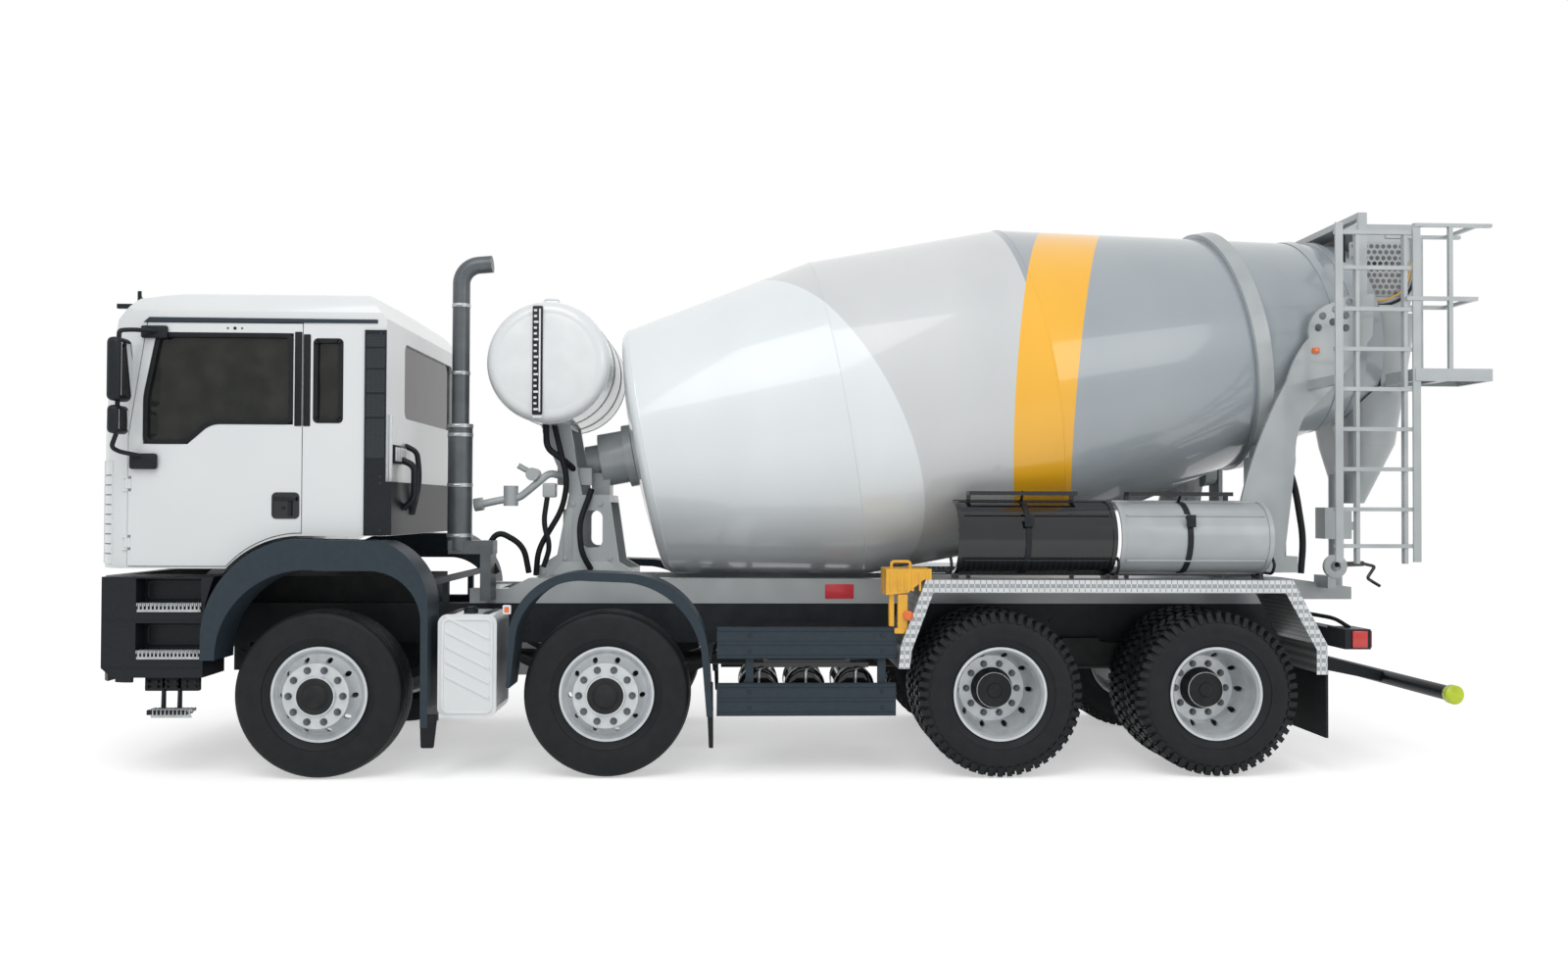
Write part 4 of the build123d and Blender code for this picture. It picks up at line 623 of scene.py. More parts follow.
vent = {"start": 0.5, "end": 1.0, "low": 1.345, "high": 1.995, "lines": 9, "pitch": 0.062}
for sideName, hand in sides:
    bm = bmesh.new()
    for index in range(vent["lines"]):
        z = vent["low"] + 0.06 + index * vent["pitch"]
        line = rect((vent["start"] + 0.06, z), (vent["end"] - 0.06, z + 0.006))
        turns = [vent["start"] + 0.06 + step * 0.095 for step in range(1, 4)]
        addPanel(bm, line, cornerPlace(hand), 0.0003, 0.0012, cuts=turns)
    addObject(f"cab_{sideName}_corner_lines", bm, "slatePlastic", "cab")
    bm = bmesh.new()
    turns = [vent["start"] + step * 0.0833 for step in range(1, 6)]
    border = rect((vent["start"], vent["low"]), (vent["end"], vent["high"]))
    addPanel(bm, border, cornerPlace(hand), 0.0003, 0.006, cuts=turns, hole=0.024)
    addObject(f"cab_{sideName}_corner_vent", bm, "cabWhite", "cab")
print("cab front done")

# mirrors in rounded housings on bent arms
mirrors = {
    # low corner, high corner, bevel
    "housings": [
        ((-1.232, 1.203, 2.352), (-1.142, 1.378, 2.745), 0.035),
        ((-1.228, 1.208, 2.152), (-1.155, 1.372, 2.328), 0.03),
        ((-1.188, 1.121, 1.94), (-1.02, 1.165, 2.04), 0.018),
        ((-1.13, 1.121, 2.765), (-0.965, 1.15, 2.845), 0.014),
    ],
    "arms": [
        [(-1.03, 1.14, 2.81), (-1.13, 1.26, 2.80), (-1.185, 1.30, 2.79), (-1.185, 1.30, 2.74)],
        [(-1.19, 1.30, 2.36), (-1.19, 1.30, 2.32)],
        [(-1.19, 1.30, 2.17), (-1.225, 1.30, 2.07), (-1.20, 1.25, 2.045), (-1.10, 1.15, 2.02)],
    ],
    "glass": [
        ((-1.1425, 1.222, 2.385), (-1.139, 1.358, 2.71)), ((-1.1555, 1.225, 2.18), (-1.152, 1.355, 2.30)),
    ],
    "arm": 0.014, "bend": 0.05,
}
for sideName, hand in sides:
    bm = bmesh.new()
    for low, high, bevel in mirrors["housings"]:
        addBox(bm, low, high, bevel, 4, hand)
    for points in mirrors["arms"]:
        addTube(bm, points, mirrors["bend"], mirrors["arm"], hand=hand)
    obj = addObject(f"{sideName}_mirror_set", bm, "blackPlastic", f"{sideName}_door")
    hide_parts(f"{sideName}_door_mirrors")
    bm = bmesh.new()
    for low, high in mirrors["glass"]:
        addBox(bm, low, high, 0.0015, hand=hand)
    addObject(f"{sideName}_mirror_glass", bm, "mirrorGlass", f"{sideName}_door")
print("mirrors done")

# step boxes: serrated treads, dark wells, lamps and the hanging step
stepBox = {
    # front run, back run, tread height, reach out to, teeth
    "treads": [
        (-1.112, -0.722, 1.100, 1.19, 16), (-1.112, -0.728, 0.806, 1.19, 16),
        (-1.05, -0.80, 0.432, 1.125, 10),
    ],
    "bars": 4, "depth": 0.07, "wellFace": 1.0502, "wells": ((1.115, 1.245), (0.825, 0.965)),
    "seams": (1.262, 0.996, 0.70), "hangers": (-1.0, -0.9),
    "boltRuns": (-1.10, -1.04, -0.98, -0.92, -0.86, -0.80), "boltHeights": (0.565, 0.60),
    "lampRun": -0.673, "lampHeight": 0.839,
    "lamp": [(0, 0), (0, 0.03), (0.006, 0.03), (0.012, 0.022), (0.015, 0.01), (0.016, 0)],
    "ring": [(0, 0.03), (0, 0.04), (0.01, 0.038), (0.012, 0.03)],
}
for sideName, hand in sides:
    bm = bmesh.new()
    for front, back, top, reach, teeth in stepBox["treads"]:
        for index in range(stepBox["bars"]):
            y = reach - 0.012 - index * stepBox["depth"] / stepBox["bars"]
            addBox(bm, (front, y, top - 0.012), (back, y - 0.006, top + 0.004), 0.0015, hand=hand)
        for index in range(teeth + 1):
            run = front + (back - front) * index / teeth
            inner = reach - stepBox["depth"]
            addBox(bm, (run - 0.003, inner, top - 0.014), (run + 0.003, reach, top + 0.006), 0.001, hand=hand)
            if index < teeth:
                middle, y = run + (back - front) / teeth / 2, hand * (reach - 0.004)
                addRod(bm, at(middle, y, top + 0.005), at(middle, y, top - 0.045), 0.005, 6, 0.007)
        addBox(bm, (front, reach - 0.008, top - 0.05), (back, reach, top - 0.034), 0.002, hand=hand)
    addObject(f"{sideName}_step_treads", bm, "zincPlate", "chassis")
    bm = bmesh.new()
    for low, high in stepBox["wells"]:
        well = rect((-1.118, low), (-0.735, high))
        addPanel(bm, well, sidePlace(stepBox["wellFace"], hand), 0.0, 0.004, 0.002, 0.03, hole=0.02)
    # seams round the box, then the bolts and the straps of the hanging step
    for z in stepBox["seams"]:
        addBox(bm, (-1.33, 1.1752, z - 0.004), (-0.73, 1.179, z + 0.004), 0.001, hand=hand)
    for run in stepBox["boltRuns"]:
        for z in stepBox["boltHeights"]:
            addStud(bm, run, z, hand, 1.06, 0.015, 0.011, 6)
    addBox(bm, (-1.12, 1.02, 0.54), (-0.78, 1.06, 0.63), 0.008, hand=hand)
    for run in stepBox["hangers"]:
        strap = ((1.062, 0.56), (1.066, 0.5), (1.07, 0.43))
        addPipe(bm, [at(run, hand * y, z) for y, z in strap], 0.011, 8)
    addObject(f"{sideName}_step_box_trim", bm, "blackPlastic", "chassis")
    # orange marker behind the steps, in its ring
    run, z = stepBox["lampRun"], stepBox["lampHeight"]
    bm = bmesh.new()
    addTurned(bm, stepBox["lamp"], run, hand * 1.1755, z, hand)
    addObject(f"{sideName}_step_marker", bm, "markerOrange", "chassis")
    bm = bmesh.new()
    addTurned(bm, stepBox["ring"], run, hand * 1.1752, z, hand, closed=True)
    addObject(f"{sideName}_step_marker_ring", bm, "blackPlastic", "chassis")

# bumper front: bars and headlamps, bent with the bumper
bumper = {
    "front": -1.465, "bow": 0.06, "corner": 0.86, "end": 0.84,
    "barStart": 0.34, "bars": (0.70, 0.76, 1.12, 1.17), "bar": 0.03,
    "lampStart": 0.48, "lampLow": 0.84, "lampHigh": 1.06, "bulbs": (0.57, 0.74), "bulbHeight": 0.95,
    "bulb": [(0, 0), (0, 0.07), (0.008, 0.066), (0.012, 0.04), (0.013, 0)],
}


def bumperPlace(y, z, out):
    # bowed up to the corner and turning back faster past it
    share = min(abs(y) / bumper["corner"], 1.0)
    past = max(0.0, abs(y) - bumper["corner"])
    return at(bumper["front"] + bumper["bow"] * share**2 + past * 0.33 + past * past * 1.1 - out, y, z)


def bumperSpan(hand, start, low, high):
    # an outline on one half of the bumper, out to the end of its bars
    near, far = sorted((hand * start, hand * bumper["end"]))
    return rect((near, low), (far, high))


bm = bmesh.new()
for sideName, hand in sides:
    cuts = [hand * (bumper["barStart"] + step * 0.1) for step in range(1, 5)]
    for z in bumper["bars"]:
        bar = bumperSpan(hand, bumper["barStart"], z, z + bumper["bar"])
        addPanel(bm, bar, bumperPlace, 0.0005, 0.007, 0.002, 0.01, cuts)
addObject("bumper_bars", bm, "blackPlastic", "chassis")
for sideName, hand in sides:
    lamp = bumperSpan(hand, bumper["lampStart"], bumper["lampLow"], bumper["lampHigh"])
    cuts = [hand * (bumper["lampStart"] + step * 0.06) for step in range(1, 6)]
    bm = bmesh.new()
    addPanel(bm, lamp, bumperPlace, 0.0005, 0.014, 0.004, 0.03, cuts, hole=0.018)
    addObject(f"{sideName}_headlamp_frame", bm, "blackPlastic", "chassis")
    bm = bmesh.new()
    addPanel(bm, lamp, bumperPlace, 0.0005, 0.006, 0.0, 0.03, cuts)
    for across in bumper["bulbs"]:
        center = bumperPlace(hand * across, bumper["bulbHeight"], 0.006)
        addSpin(bm, bumper["bulb"], center, (-1, 0, 0), (0, 0, 1), 28, False)
    addObject(f"{sideName}_headlamp", bm, "lampClear", "chassis")
print("steps and bumper done")

# flaps below the arches' rear feet, and the square marker on the front arch
archFlap = {
    "face": 1.238,
    # outline, corner
    "flaps": [
        ([(0.648, 0.42), (0.655, 0.21), (0.735, 0.21), (0.758, 0.42)], 0.01),
        ([(2.425, 0.62), (2.445, 0.204), (2.473, 0.204), (2.47, 0.62)], 0.008),
    ],
    "markerFace": 1.2502, "marker": rect((1.155, 1.042), (1.207, 1.10)),
    "lens": rect((1.166, 1.053), (1.196, 1.089)),
}
for sideName, hand in sides:
    bm = bmesh.new()
    for outline, corner in archFlap["flaps"]:
        addPanel(bm, outline, sidePlace(archFlap["face"], hand), 0.0, 0.011, 0.003, corner)
    addObject(f"{sideName}_arch_flaps", bm, "flapRubber", "chassis")
    skin = sidePlace(archFlap["markerFace"], hand)
    bm = bmesh.new()
    addPanel(bm, archFlap["marker"], skin, -0.01, -0.001, 0.003, 0.008)
    addObject(f"{sideName}_square_marker", bm, "tankWhite", "chassis")
    bm = bmesh.new()
    addPanel(bm, archFlap["lens"], skin, -0.0012, -0.0003, 0.0, 0.006)
    addObject(f"{sideName}_square_marker_lens", bm, "markerOrange", "chassis")
print("flaps done")

# white side tank with slanting ribs, straps and cap
sideTank = {
    "front": 0.745, "back": 1.111, "low": 0.3935, "high": 1.0385, "skin": 1.2, "ribs": 5, "firstRib": 0.20,
    "pitch": 0.093, "rise": 0.14, "rib": 0.02, "straps": (0.815, 1.04),
    # low, high and radius of the cap's two steps
    "cap": ((1.0386, 1.068, 0.045), (1.068, 1.078, 0.03)),
}
for sideName, hand in sides:
    place = sidePlace(sideTank["skin"], hand)
    front, back, low, high = (sideTank[key] for key in ("front", "back", "low", "high"))
    bm = bmesh.new()
    outline = rect((front + 0.022, low + 0.022), (back - 0.022, high - 0.022))
    addPanel(bm, outline, place, 0.0001, 0.008, 0.003, 0.045, hole=0.016)
    front, back = front + 0.045, back - 0.045
    for index in range(sideTank["ribs"]):
        z = low + sideTank["firstRib"] + index * sideTank["pitch"]
        start, end = z + sideTank["rise"] / 2, z - sideTank["rise"] / 2
        rib = [(front, start), (front, start - sideTank["rib"]), (back, end - sideTank["rib"]), (back, end)]
        addPanel(bm, rib, place, 0.0001, 0.007, 0.003, 0.006)
    addObject(f"{sideName}_tank_ribs", bm, "tankWhite", "chassis")
    bm = bmesh.new()
    for run in sideTank["straps"]:
        addBox(bm, (run - 0.018, 0.80, 1.0386), (run + 0.018, 1.19, 1.044), 0.002, hand=hand)
    for low, high, radius in sideTank["cap"]:
        addRod(bm, at(0.93, hand * 1.1, low), at(0.93, hand * 1.1, high), radius, 28)
    addObject(f"{sideName}_tank_straps", bm, "blackPlastic", "chassis")

# air tank bands, caps and pipes, and the battery box lid
airTanks = {
    "runs": (2.76, 3.06, 3.38), "z": 0.56, "front": -1.08, "bands": (-0.98, -0.65),
    "band": [(-0.014, 0.1282), (-0.014, 0.132), (0.014, 0.132), (0.014, 0.1282)],
}
bm = bmesh.new()
for run in airTanks["runs"]:
    front, z = airTanks["front"], airTanks["z"]
    for y in airTanks["bands"]:
        addTurned(bm, airTanks["band"], run, y, z, 1, 40, True)
    addRod(bm, at(run, front - 0.006, z), at(run, front, z), 0.03, 6)
    line = [(run, front - 0.004, 0.6), (run, -1.12, 0.6), (run, -1.12, 0.68), (run + 0.06, -1.02, 0.684)]
    addTube(bm, line, 0.03, 0.008, 8)
addObject("air_tank_bands", bm, "zincPlate", "chassis")
batteryLid = {
    "outline": rect((2.80, 0.73), (3.34, 0.93)), "face": 1.03, "ribs": 7, "firstRib": 2.85, "pitch": 0.07,
    "clips": (2.84, 3.30),
}
bm = bmesh.new()
addPanel(bm, batteryLid["outline"], sidePlace(batteryLid["face"], -1), 0.0001, 0.012, 0.005, 0.03, hole=0.03)
for index in range(batteryLid["ribs"]):
    run = batteryLid["firstRib"] + index * batteryLid["pitch"]
    addBox(bm, (run, -1.038, 0.77), (run + 0.02, -1.0301, 0.89), 0.003)
for run in batteryLid["clips"]:
    addBox(bm, (run - 0.012, -1.046, 0.86), (run + 0.012, -1.03, 0.945), 0.004)
addObject("battery_box_lid", bm, "blackPlastic", "chassis")

# rolled edges and bolts on the side guards
guard = {
    "front": 2.495, "back": 3.625, "rails": ((0.759, 0.958), (0.399, 0.605)), "skin": 1.215, "edge": 0.016,
    "boltRuns": (2.70, 3.54),
}
for sideName, hand in sides:
    place = sidePlace(guard["skin"], hand)
    front, back = guard["front"], guard["back"]
    bm = bmesh.new()
    for low, high in guard["rails"]:
        for z in (low + 0.006, high - 0.022):
            addPanel(bm, rect((front, z), (back, z + guard["edge"])), place, 0.0001, 0.008, 0.003)
        middle = (low + high) / 2
        addPanel(bm, rect((front, middle - 0.01), (back, middle + 0.01)), place, 0.0001, 0.006, 0.003)
        for run in guard["boltRuns"]:
            for z in (middle - 0.05, middle + 0.05):
                addStud(bm, run, z, hand, guard["skin"], 0.007, 0.012, 16, 0.009)
    addObject(f"{sideName}_guard_edges", bm, "slatePlastic", "chassis")
print("tanks and guards done")

# red plate on the subframe, and the frame's bolt rows
redPlate = {"outline": rect((3.231, 1.083), (3.432, 1.185)), "skin": 0.4405}
bm = bmesh.new()
addPanel(bm, redPlate["outline"], sidePlace(redPlate["skin"], -1), 0.0, 0.003, 0.001, 0.008)
addObject("red_plate", bm, "plateRed", "chassis")
frameBolts = {"start": 0.9, "pitch": 0.28, "count": 20, "heights": (0.86, 0.93), "skin": 0.435}
bm = bmesh.new()
for sideName, hand in sides:
    for index in range(frameBolts["count"]):
        for z in frameBolts["heights"]:
            run = frameBolts["start"] + index * frameBolts["pitch"]
            addStud(bm, run, z, hand, frameBolts["skin"], 0.009, 0.014, 6)
addObject("frame_bolts", bm, "frameDark", "chassis")
print("frame details done")

# drum: weld seams, ring flanges and the bands near the mouth, by station along its axis
drum = {
    "run": 1.956, "z": 2.111, "tilt": math.radians(10.43), "head": 0.04, "headRadius": 0.891,
    "belly": 1.39, "bellyRadius": 1.149, "cone": 2.759, "coneLength": 2.457, "coneDrop": 0.519,
    "seams": (0.05, 1.39, 2.759), "bands": (4.875, 5.04), "flanges": ((4.196, 4.203), (4.303, 4.31)),
    "flangeRadius": 0.872,
    # station and radius added for each corner of a section
    "bead": ((-0.008, -0.003), (-0.004, 0.0025), (0.004, 0.0025), (0.008, -0.003)),
    "band": ((-0.03, 0.0), (-0.028, 0.012), (0.028, 0.009), (0.03, -0.004)),
}


def drumRadius(station):
    if station < drum["belly"]:
        share = (station - drum["head"]) / (drum["belly"] - drum["head"])
        return drum["headRadius"] + share * (drum["bellyRadius"] - drum["headRadius"])
    return drum["bellyRadius"] - max(0.0, station - drum["cone"]) / drum["coneLength"] * drum["coneDrop"]


def spinOnDrum(bm, profile, steps):
    along = Vector((math.cos(drum["tilt"]), 0, math.sin(drum["tilt"])))
    addSpin(bm, profile, at(drum["run"], 0, drum["z"]), along, (0, -1, 0), steps)


bm = bmesh.new()
for station in drum["seams"]:
    spinOnDrum(bm, [(station + along, drumRadius(station) + out) for along, out in drum["bead"]], 128)
addObject("drum_weld_seams", bm, "drumPaint", "drum")
bm = bmesh.new()
for station in drum["bands"]:
    spinOnDrum(bm, [(station + along, drumRadius(station) + out) for along, out in drum["band"]], 96)
for low, high in drum["flanges"]:
    top = drum["flangeRadius"]
    spinOnDrum(bm, [(low, drumRadius(low)), (low, top), (high, top), (high, drumRadius(high))], 128)
addObject("drum_bands", bm, "drumPaint", "drum")
print("drum details done")

# water tank: domes, weld rims, filler, lifting eyes, gauge strip and straps
waterTank = {
    "run": 1.33715, "z": 2.69, "end": 0.70, "eyes": (-0.5, 0.5), "straps": (-0.25, 0.25),
    "dome": [(0.0, 0.325), (0.004, 0.30), (0.012, 0.2), (0.016, 0.1), (0.0175, 0.0), (0.0, 0.0)],
    "rim": [(-0.08, 0.408), (-0.078, 0.4135), (-0.07, 0.4135), (-0.068, 0.408)],
    "strap": [(-0.025, 0.4105), (-0.025, 0.414), (0.025, 0.414), (0.025, 0.4105)],
    # low, high and radius of the filler's two steps
    "filler": ((3.08, 3.13, 0.07), (3.13, 3.145, 0.08)),
}
tankRun, tankHeight = waterTank["run"], waterTank["z"]
bm = bmesh.new()
for sideName, hand in sides:
    y = hand * waterTank["end"]
    addTurned(bm, waterTank["dome"], tankRun, y, tankHeight, hand, 64)
    addTurned(bm, waterTank["rim"], tankRun, y, tankHeight, hand, 72, True)
for low, high, radius in waterTank["filler"]:
    addRod(bm, at(tankRun, -0.1, low), at(tankRun, -0.1, high), radius, 28)
for y in waterTank["eyes"]:
    front, back = tankRun - 0.05, tankRun + 0.05
    addTube(bm, [(front, y, 3.09), (front, y, 3.14), (back, y, 3.14), (back, y, 3.09)], 0.03, 0.008, 8)
addObject("water_tank_trim", bm, "tankWhite", "chassis")
gauge = {
    "run": tankRun - 0.06, "low": 2.33, "high": 3.06, "half": 0.034, "face": 0.72,
    "marks": 18, "pitch": 0.039,
}
bm = bmesh.new()
backing = rect((gauge["run"] - gauge["half"], gauge["low"]), (gauge["run"] + gauge["half"], gauge["high"]))
addPanel(bm, backing, sidePlace(gauge["face"], -1), -0.004, 0.006, 0.002, 0.008)
addObject("level_gauge", bm, "blackPlastic", "chassis")
bm = bmesh.new()
for index in range(gauge["marks"]):
    z = gauge["low"] + 0.03 + index * gauge["pitch"]
    reach = 0.004 if index % 3 else -0.006  # every third mark is longer
    addBox(bm, (gauge["run"] - 0.024, -0.7275, z), (gauge["run"] - reach, -0.7262, z + 0.014))
run = gauge["run"] + 0.016
addRod(bm, at(run, -0.731, gauge["low"] + 0.02), at(run, -0.731, gauge["high"] - 0.02), 0.006, 10)
addObject("level_gauge_marks", bm, "tankWhite", "chassis")
bm = bmesh.new()
for y in waterTank["straps"]:
    addTurned(bm, waterTank["strap"], tankRun, y, tankHeight, 1, 72, True)
addObject("water_tank_straps", bm, "mixerGrey", "chassis")
print("water tank done")

# pump, valves and hoses between the pedestal and the exhaust, all held at both ends
pump = {
    "arm": [
        (0.84, -0.40, 1.73), (0.987, -0.40, 1.762), (1.108, -0.40, 1.776), (1.208, -0.40, 1.86),
        (1.309, -0.38, 1.95), (1.40, -0.30, 1.93),
    ],
    # start, end, radius, corners
    "rods": [
        ((1.05, -0.40, 1.72), (1.05, -0.40, 1.86), 0.05, 24),
        ((1.20, -0.44, 1.94), (1.20, -0.30, 1.94), 0.045, 20),
        ((1.10, -0.41, 2.00), (1.19, -0.40, 1.95), 0.02, 12),
        ((0.80, -0.40, 1.725), (0.86, -0.40, 1.735), 0.045, 20),
    ],
    "hoses": [
        ([(1.29, -0.42, 2.30), (1.30, -0.44, 2.12), (1.40, -0.42, 2.05), (1.47, -0.30, 1.98)], 0.022),
        ([
            (1.34, -0.38, 2.30), (1.38, -0.42, 2.15), (1.44, -0.40, 1.90), (1.40, -0.36, 1.70),
            (1.24, -0.40, 1.42), (1.22, -0.36, 1.24),
        ], 0.02),
        ([(1.30, -0.40, 1.78), (1.28, -0.44, 1.60), (1.33, -0.44, 1.44), (1.28, -0.42, 1.30)], 0.018),
        ([
            (0.97, -0.46, 1.26), (0.90, -0.50, 1.42), (0.98, -0.50, 1.55), (1.15, -0.46, 1.45),
            (1.18, -0.42, 1.26),
        ], 0.02),
        ([(1.60, -0.34, 1.84), (1.52, -0.40, 1.60), (1.54, -0.42, 1.40), (1.60, -0.36, 1.28)], 0.02),
    ],
}
bm = bmesh.new()
addTube(bm, pump["arm"], 0.04, 0.026)
for start, end, radius, steps in pump["rods"]:
    addRod(bm, at(*start), at(*end), radius, steps)
addBox(bm, (1.27, -0.43, 1.78), (1.36, -0.33, 1.88), 0.012)
addBox(bm, (1.40, -0.335, 1.30), (1.47, -0.305, 1.70), 0.008)
addObject("pump_arm", bm, "mixerGrey", "chassis")
bm = bmesh.new()
for points, radius in pump["hoses"]:
    addTube(bm, points, 0.09, radius, segments=6)
addObject("pedestal_hoses", bm, "flapRubber", "chassis")
pedestal = {
    "face": 0.330, "headFace": 0.315, "headBolts": ((1.30, 2.36), (1.37, 2.36), (1.36, 2.24)),
    "bolts": (
        (1.27, 1.26), (1.36, 1.26), (1.76, 1.26), (1.85, 1.26), (1.42, 1.36), (1.73, 1.36), (1.47, 1.74),
        (1.66, 1.74), (1.56, 1.76),
    ),
    "stiffener": [(1.30, 1.235), (1.82, 1.235), (1.73, 1.33), (1.40, 1.33)],
}
bm = bmesh.new()
for sideName, hand in sides:
    for run, z in pedestal["bolts"]:
        addStud(bm, run, z, hand, pedestal["face"], 0.012, 0.017, 6)
    for run, z in pedestal["headBolts"]:
        addStud(bm, run, z, hand, pedestal["headFace"], 0.01, 0.014, 6)
    place = sidePlace(pedestal["face"] + 0.0001, hand)
    addPanel(bm, pedestal["stiffener"], place, 0.0, 0.01, 0.003, 0.02)
addObject("pedestal_plates", bm, "mixerGrey", "chassis")

# exhaust clamp bands, wide on the silencer and narrow on the pipe above it
stack = {
    "run": 0.735, "y": -0.56, "wide": 0.082, "narrow": 0.058, "top": 2.27,
    "bands": (1.52, 1.86, 2.2, 2.262, 2.62, 3.08),
}
bm = bmesh.new()
for z in stack["bands"]:
    radius = stack["wide"] if z < stack["top"] else stack["narrow"]
    band = [(-0.012, radius), (-0.012, radius + 0.004), (0.012, radius + 0.004), (0.012, radius)]
    addSpin(bm, band, at(stack["run"], stack["y"], z), (0, 0, 1), (1, 0, 0), 40)
    y = stack["y"] - radius - 0.008
    addRod(bm, at(stack["run"] - 0.02, y, z), at(stack["run"] + 0.02, y, z), 0.006, 8)
addObject("stack_bands", bm, "zincPlate", "chassis")

# vent and pipes on the cab's back, held at both ends
cabBack = {
    "pipes": [
        ([(0.415, -0.84, 2.02), (0.50, -0.84, 1.98), (0.50, -0.84, 1.76), (0.43, -0.84, 1.70)], 0.022),
        ([(0.391, -0.66, 2.12), (0.47, -0.66, 2.08), (0.49, -0.66, 1.90), (0.43, -0.66, 1.66)], 0.018),
        ([(0.391, -0.60, 2.12), (0.46, -0.60, 2.07), (0.48, -0.60, 1.88), (0.43, -0.60, 1.66)], 0.014),
    ],
    "slats": 7, "firstSlat": -1.005, "pitch": 0.038,
}
bm = bmesh.new()
for points, radius in cabBack["pipes"]:
    addTube(bm, points, 0.12, radius, 16, 6)
addBox(bm, (0.392, -1.02, 1.99), (0.42, -0.74, 2.11), 0.006)
addObject("cab_back_pipes", bm, "blackPlastic", "cab")
bm = bmesh.new()
for index in range(cabBack["slats"]):
    y = cabBack["firstSlat"] + index * cabBack["pitch"]
    addBox(bm, (0.4195, y, 2.005), (0.426, y + 0.02, 2.095), 0.002)
addBox(bm, (0.393, -1.06, 1.86), (0.412, -1.035, 2.30), 0.004)
addObject("cab_back_vent", bm, "cabWhite", "cab")
print("pedestal and exhaust done")

# spare chutes: straps, hooks, rolled lips and ribs
chute = {
    "y": -1.0, "z": 1.53, "radius": 0.2362, "straps": (4.475, 5.52), "width": 0.036,
    "hooks": (3.985, 5.065, 6.08),
    "lips": (1.762, 1.298), "ribs": (0.9, 2.25),
    # name, front, back, look
    "chutes": (("black_chute", 4.026, 5.05, "tankBlack"), ("grey_chute", 5.075, 6.066, "mixerGrey")),
}


def chutePlace(angle, run, out):
    # angle goes from the chute's upper lip round its outside to the lower one
    reach = chute["radius"] + out
    return at(run, chute["y"] - reach * math.sin(angle), chute["z"] + reach * math.cos(angle))


bm = bmesh.new()
cuts = [math.pi * step / 24 for step in range(1, 24)]
for run in chute["straps"]:
    strap = rect((0.0, run - chute["width"] / 2), (math.pi, run + chute["width"] / 2))
    addPanel(bm, strap, chutePlace, -0.007, 0.0, cuts=cuts)
    addBox(bm, (run - 0.03, -1.246, 1.60), (run + 0.03, -1.232, 1.68), 0.004)
    addTube(bm, [(run, -1.0, 1.765), (run, -1.04, 1.80), (run, -1.05, 1.83)], 0.02, 0.009, 8)
for run in chute["hooks"]:
    hook = [(run, -1.0, 1.30), (run, -1.16, 1.30), (run, -1.20, 1.36), (run, -1.16, 1.40)]
    addTube(bm, hook, 0.04, 0.010, 8)
addObject("chute_straps", bm, "blackPlastic", "chassis")
for name, front, back, look in chute["chutes"]:
    bm = bmesh.new()
    for z in chute["lips"]:
        addRod(bm, at(front + 0.002, -0.998, z), at(back - 0.002, -0.998, z), 0.011, 12)
    for angle in chute["ribs"]:
        rib = [chutePlace(angle, run, -0.004) for run in (front + 0.045, back - 0.045)]
        addRod(bm, rib[0], rib[1], 0.007, 10)
    addObject(f"{name}_lips", bm, look, "chassis")
print("chutes done")

# mudguard rivets; chock handle, ridges, holder and lamp
rivets = {"start": 3.95, "pitch": 0.104, "count": 22, "z": 1.225, "face": 1.2502}
bm = bmesh.new()
for sideName, hand in sides:
    for index in range(rivets["count"]):
        run = rivets["start"] + index * rivets["pitch"]
        addStud(bm, run, rivets["z"], hand, rivets["face"], 0.0038, 0.007, 10, 0.005)
addObject("mudguard_rivets", bm, "zincPlate", "chassis")
chock = {
    "handle": [(3.60, -1.19, 1.33), (3.60, -1.19, 1.375), (3.72, -1.19, 1.375), (3.72, -1.19, 1.33)],
    "ridges": 6, "firstRidge": 3.585, "pitch": 0.046,
    "lamp": [(0, 0), (0, 0.034), (0.02, 0.032), (0.032, 0.02), (0.035, 0)],
}
bm = bmesh.new()
addTube(bm, chock["handle"], 0.025, 0.010, 10)
for index in range(chock["ridges"]):
    run = chock["firstRidge"] + index * chock["pitch"]
    addBox(bm, (run, -1.2452, 1.19), (run + 0.014, -1.2402, 1.31), 0.002)
addBox(bm, (3.635, -1.235, 0.93), (3.70, -1.20, 1.17), 0.008)
addBox(bm, (3.615, -1.24, 0.92), (3.68, -1.18, 0.955), 0.006)
addObject("chock_handles", bm, "chockYellow", "chassis")
bm = bmesh.new()
addTurned(bm, chock["lamp"], 3.70, -1.236, 1.035, -1)
addObject("chock_lamp", bm, "markerOrange", "chassis")
print("mudguards done")

# hopper side: a perforated plate, its holes shown as dark studs, their black a painted shade for the space
# seen through the holes
hopper = {
    "front": 6.955, "back": 7.365, "low": 3.235, "high": 3.62, "skin": 0.4402, "rows": 9, "columns": 9,
    "pitch": 0.043, "rowPitch": 0.041,
}
bm = bmesh.new()
plate = rect((hopper["front"], hopper["low"]), (hopper["back"], hopper["high"]))
addPanel(bm, plate, sidePlace(hopper["skin"], -1), 0.0, 0.006, 0.002, 0.01)
addObject("hopper_side_plate", bm, "mixerGrey", "chassis")
bm = bmesh.new()
for row in range(hopper["rows"]):
    for column in range(hopper["columns"]):
        moved = row % 2 and column < hopper["columns"] - 1
        run = hopper["front"] + 0.032 + column * hopper["pitch"] + (hopper["pitch"] / 2 if moved else 0)
        z = hopper["low"] + 0.028 + row * hopper["rowPitch"]
        addStud(bm, run, z, -1, 0.4463, 0.0012, 0.0165, 6)
addObject("hopper_plate_holes", bm, "tankBlack", "chassis")

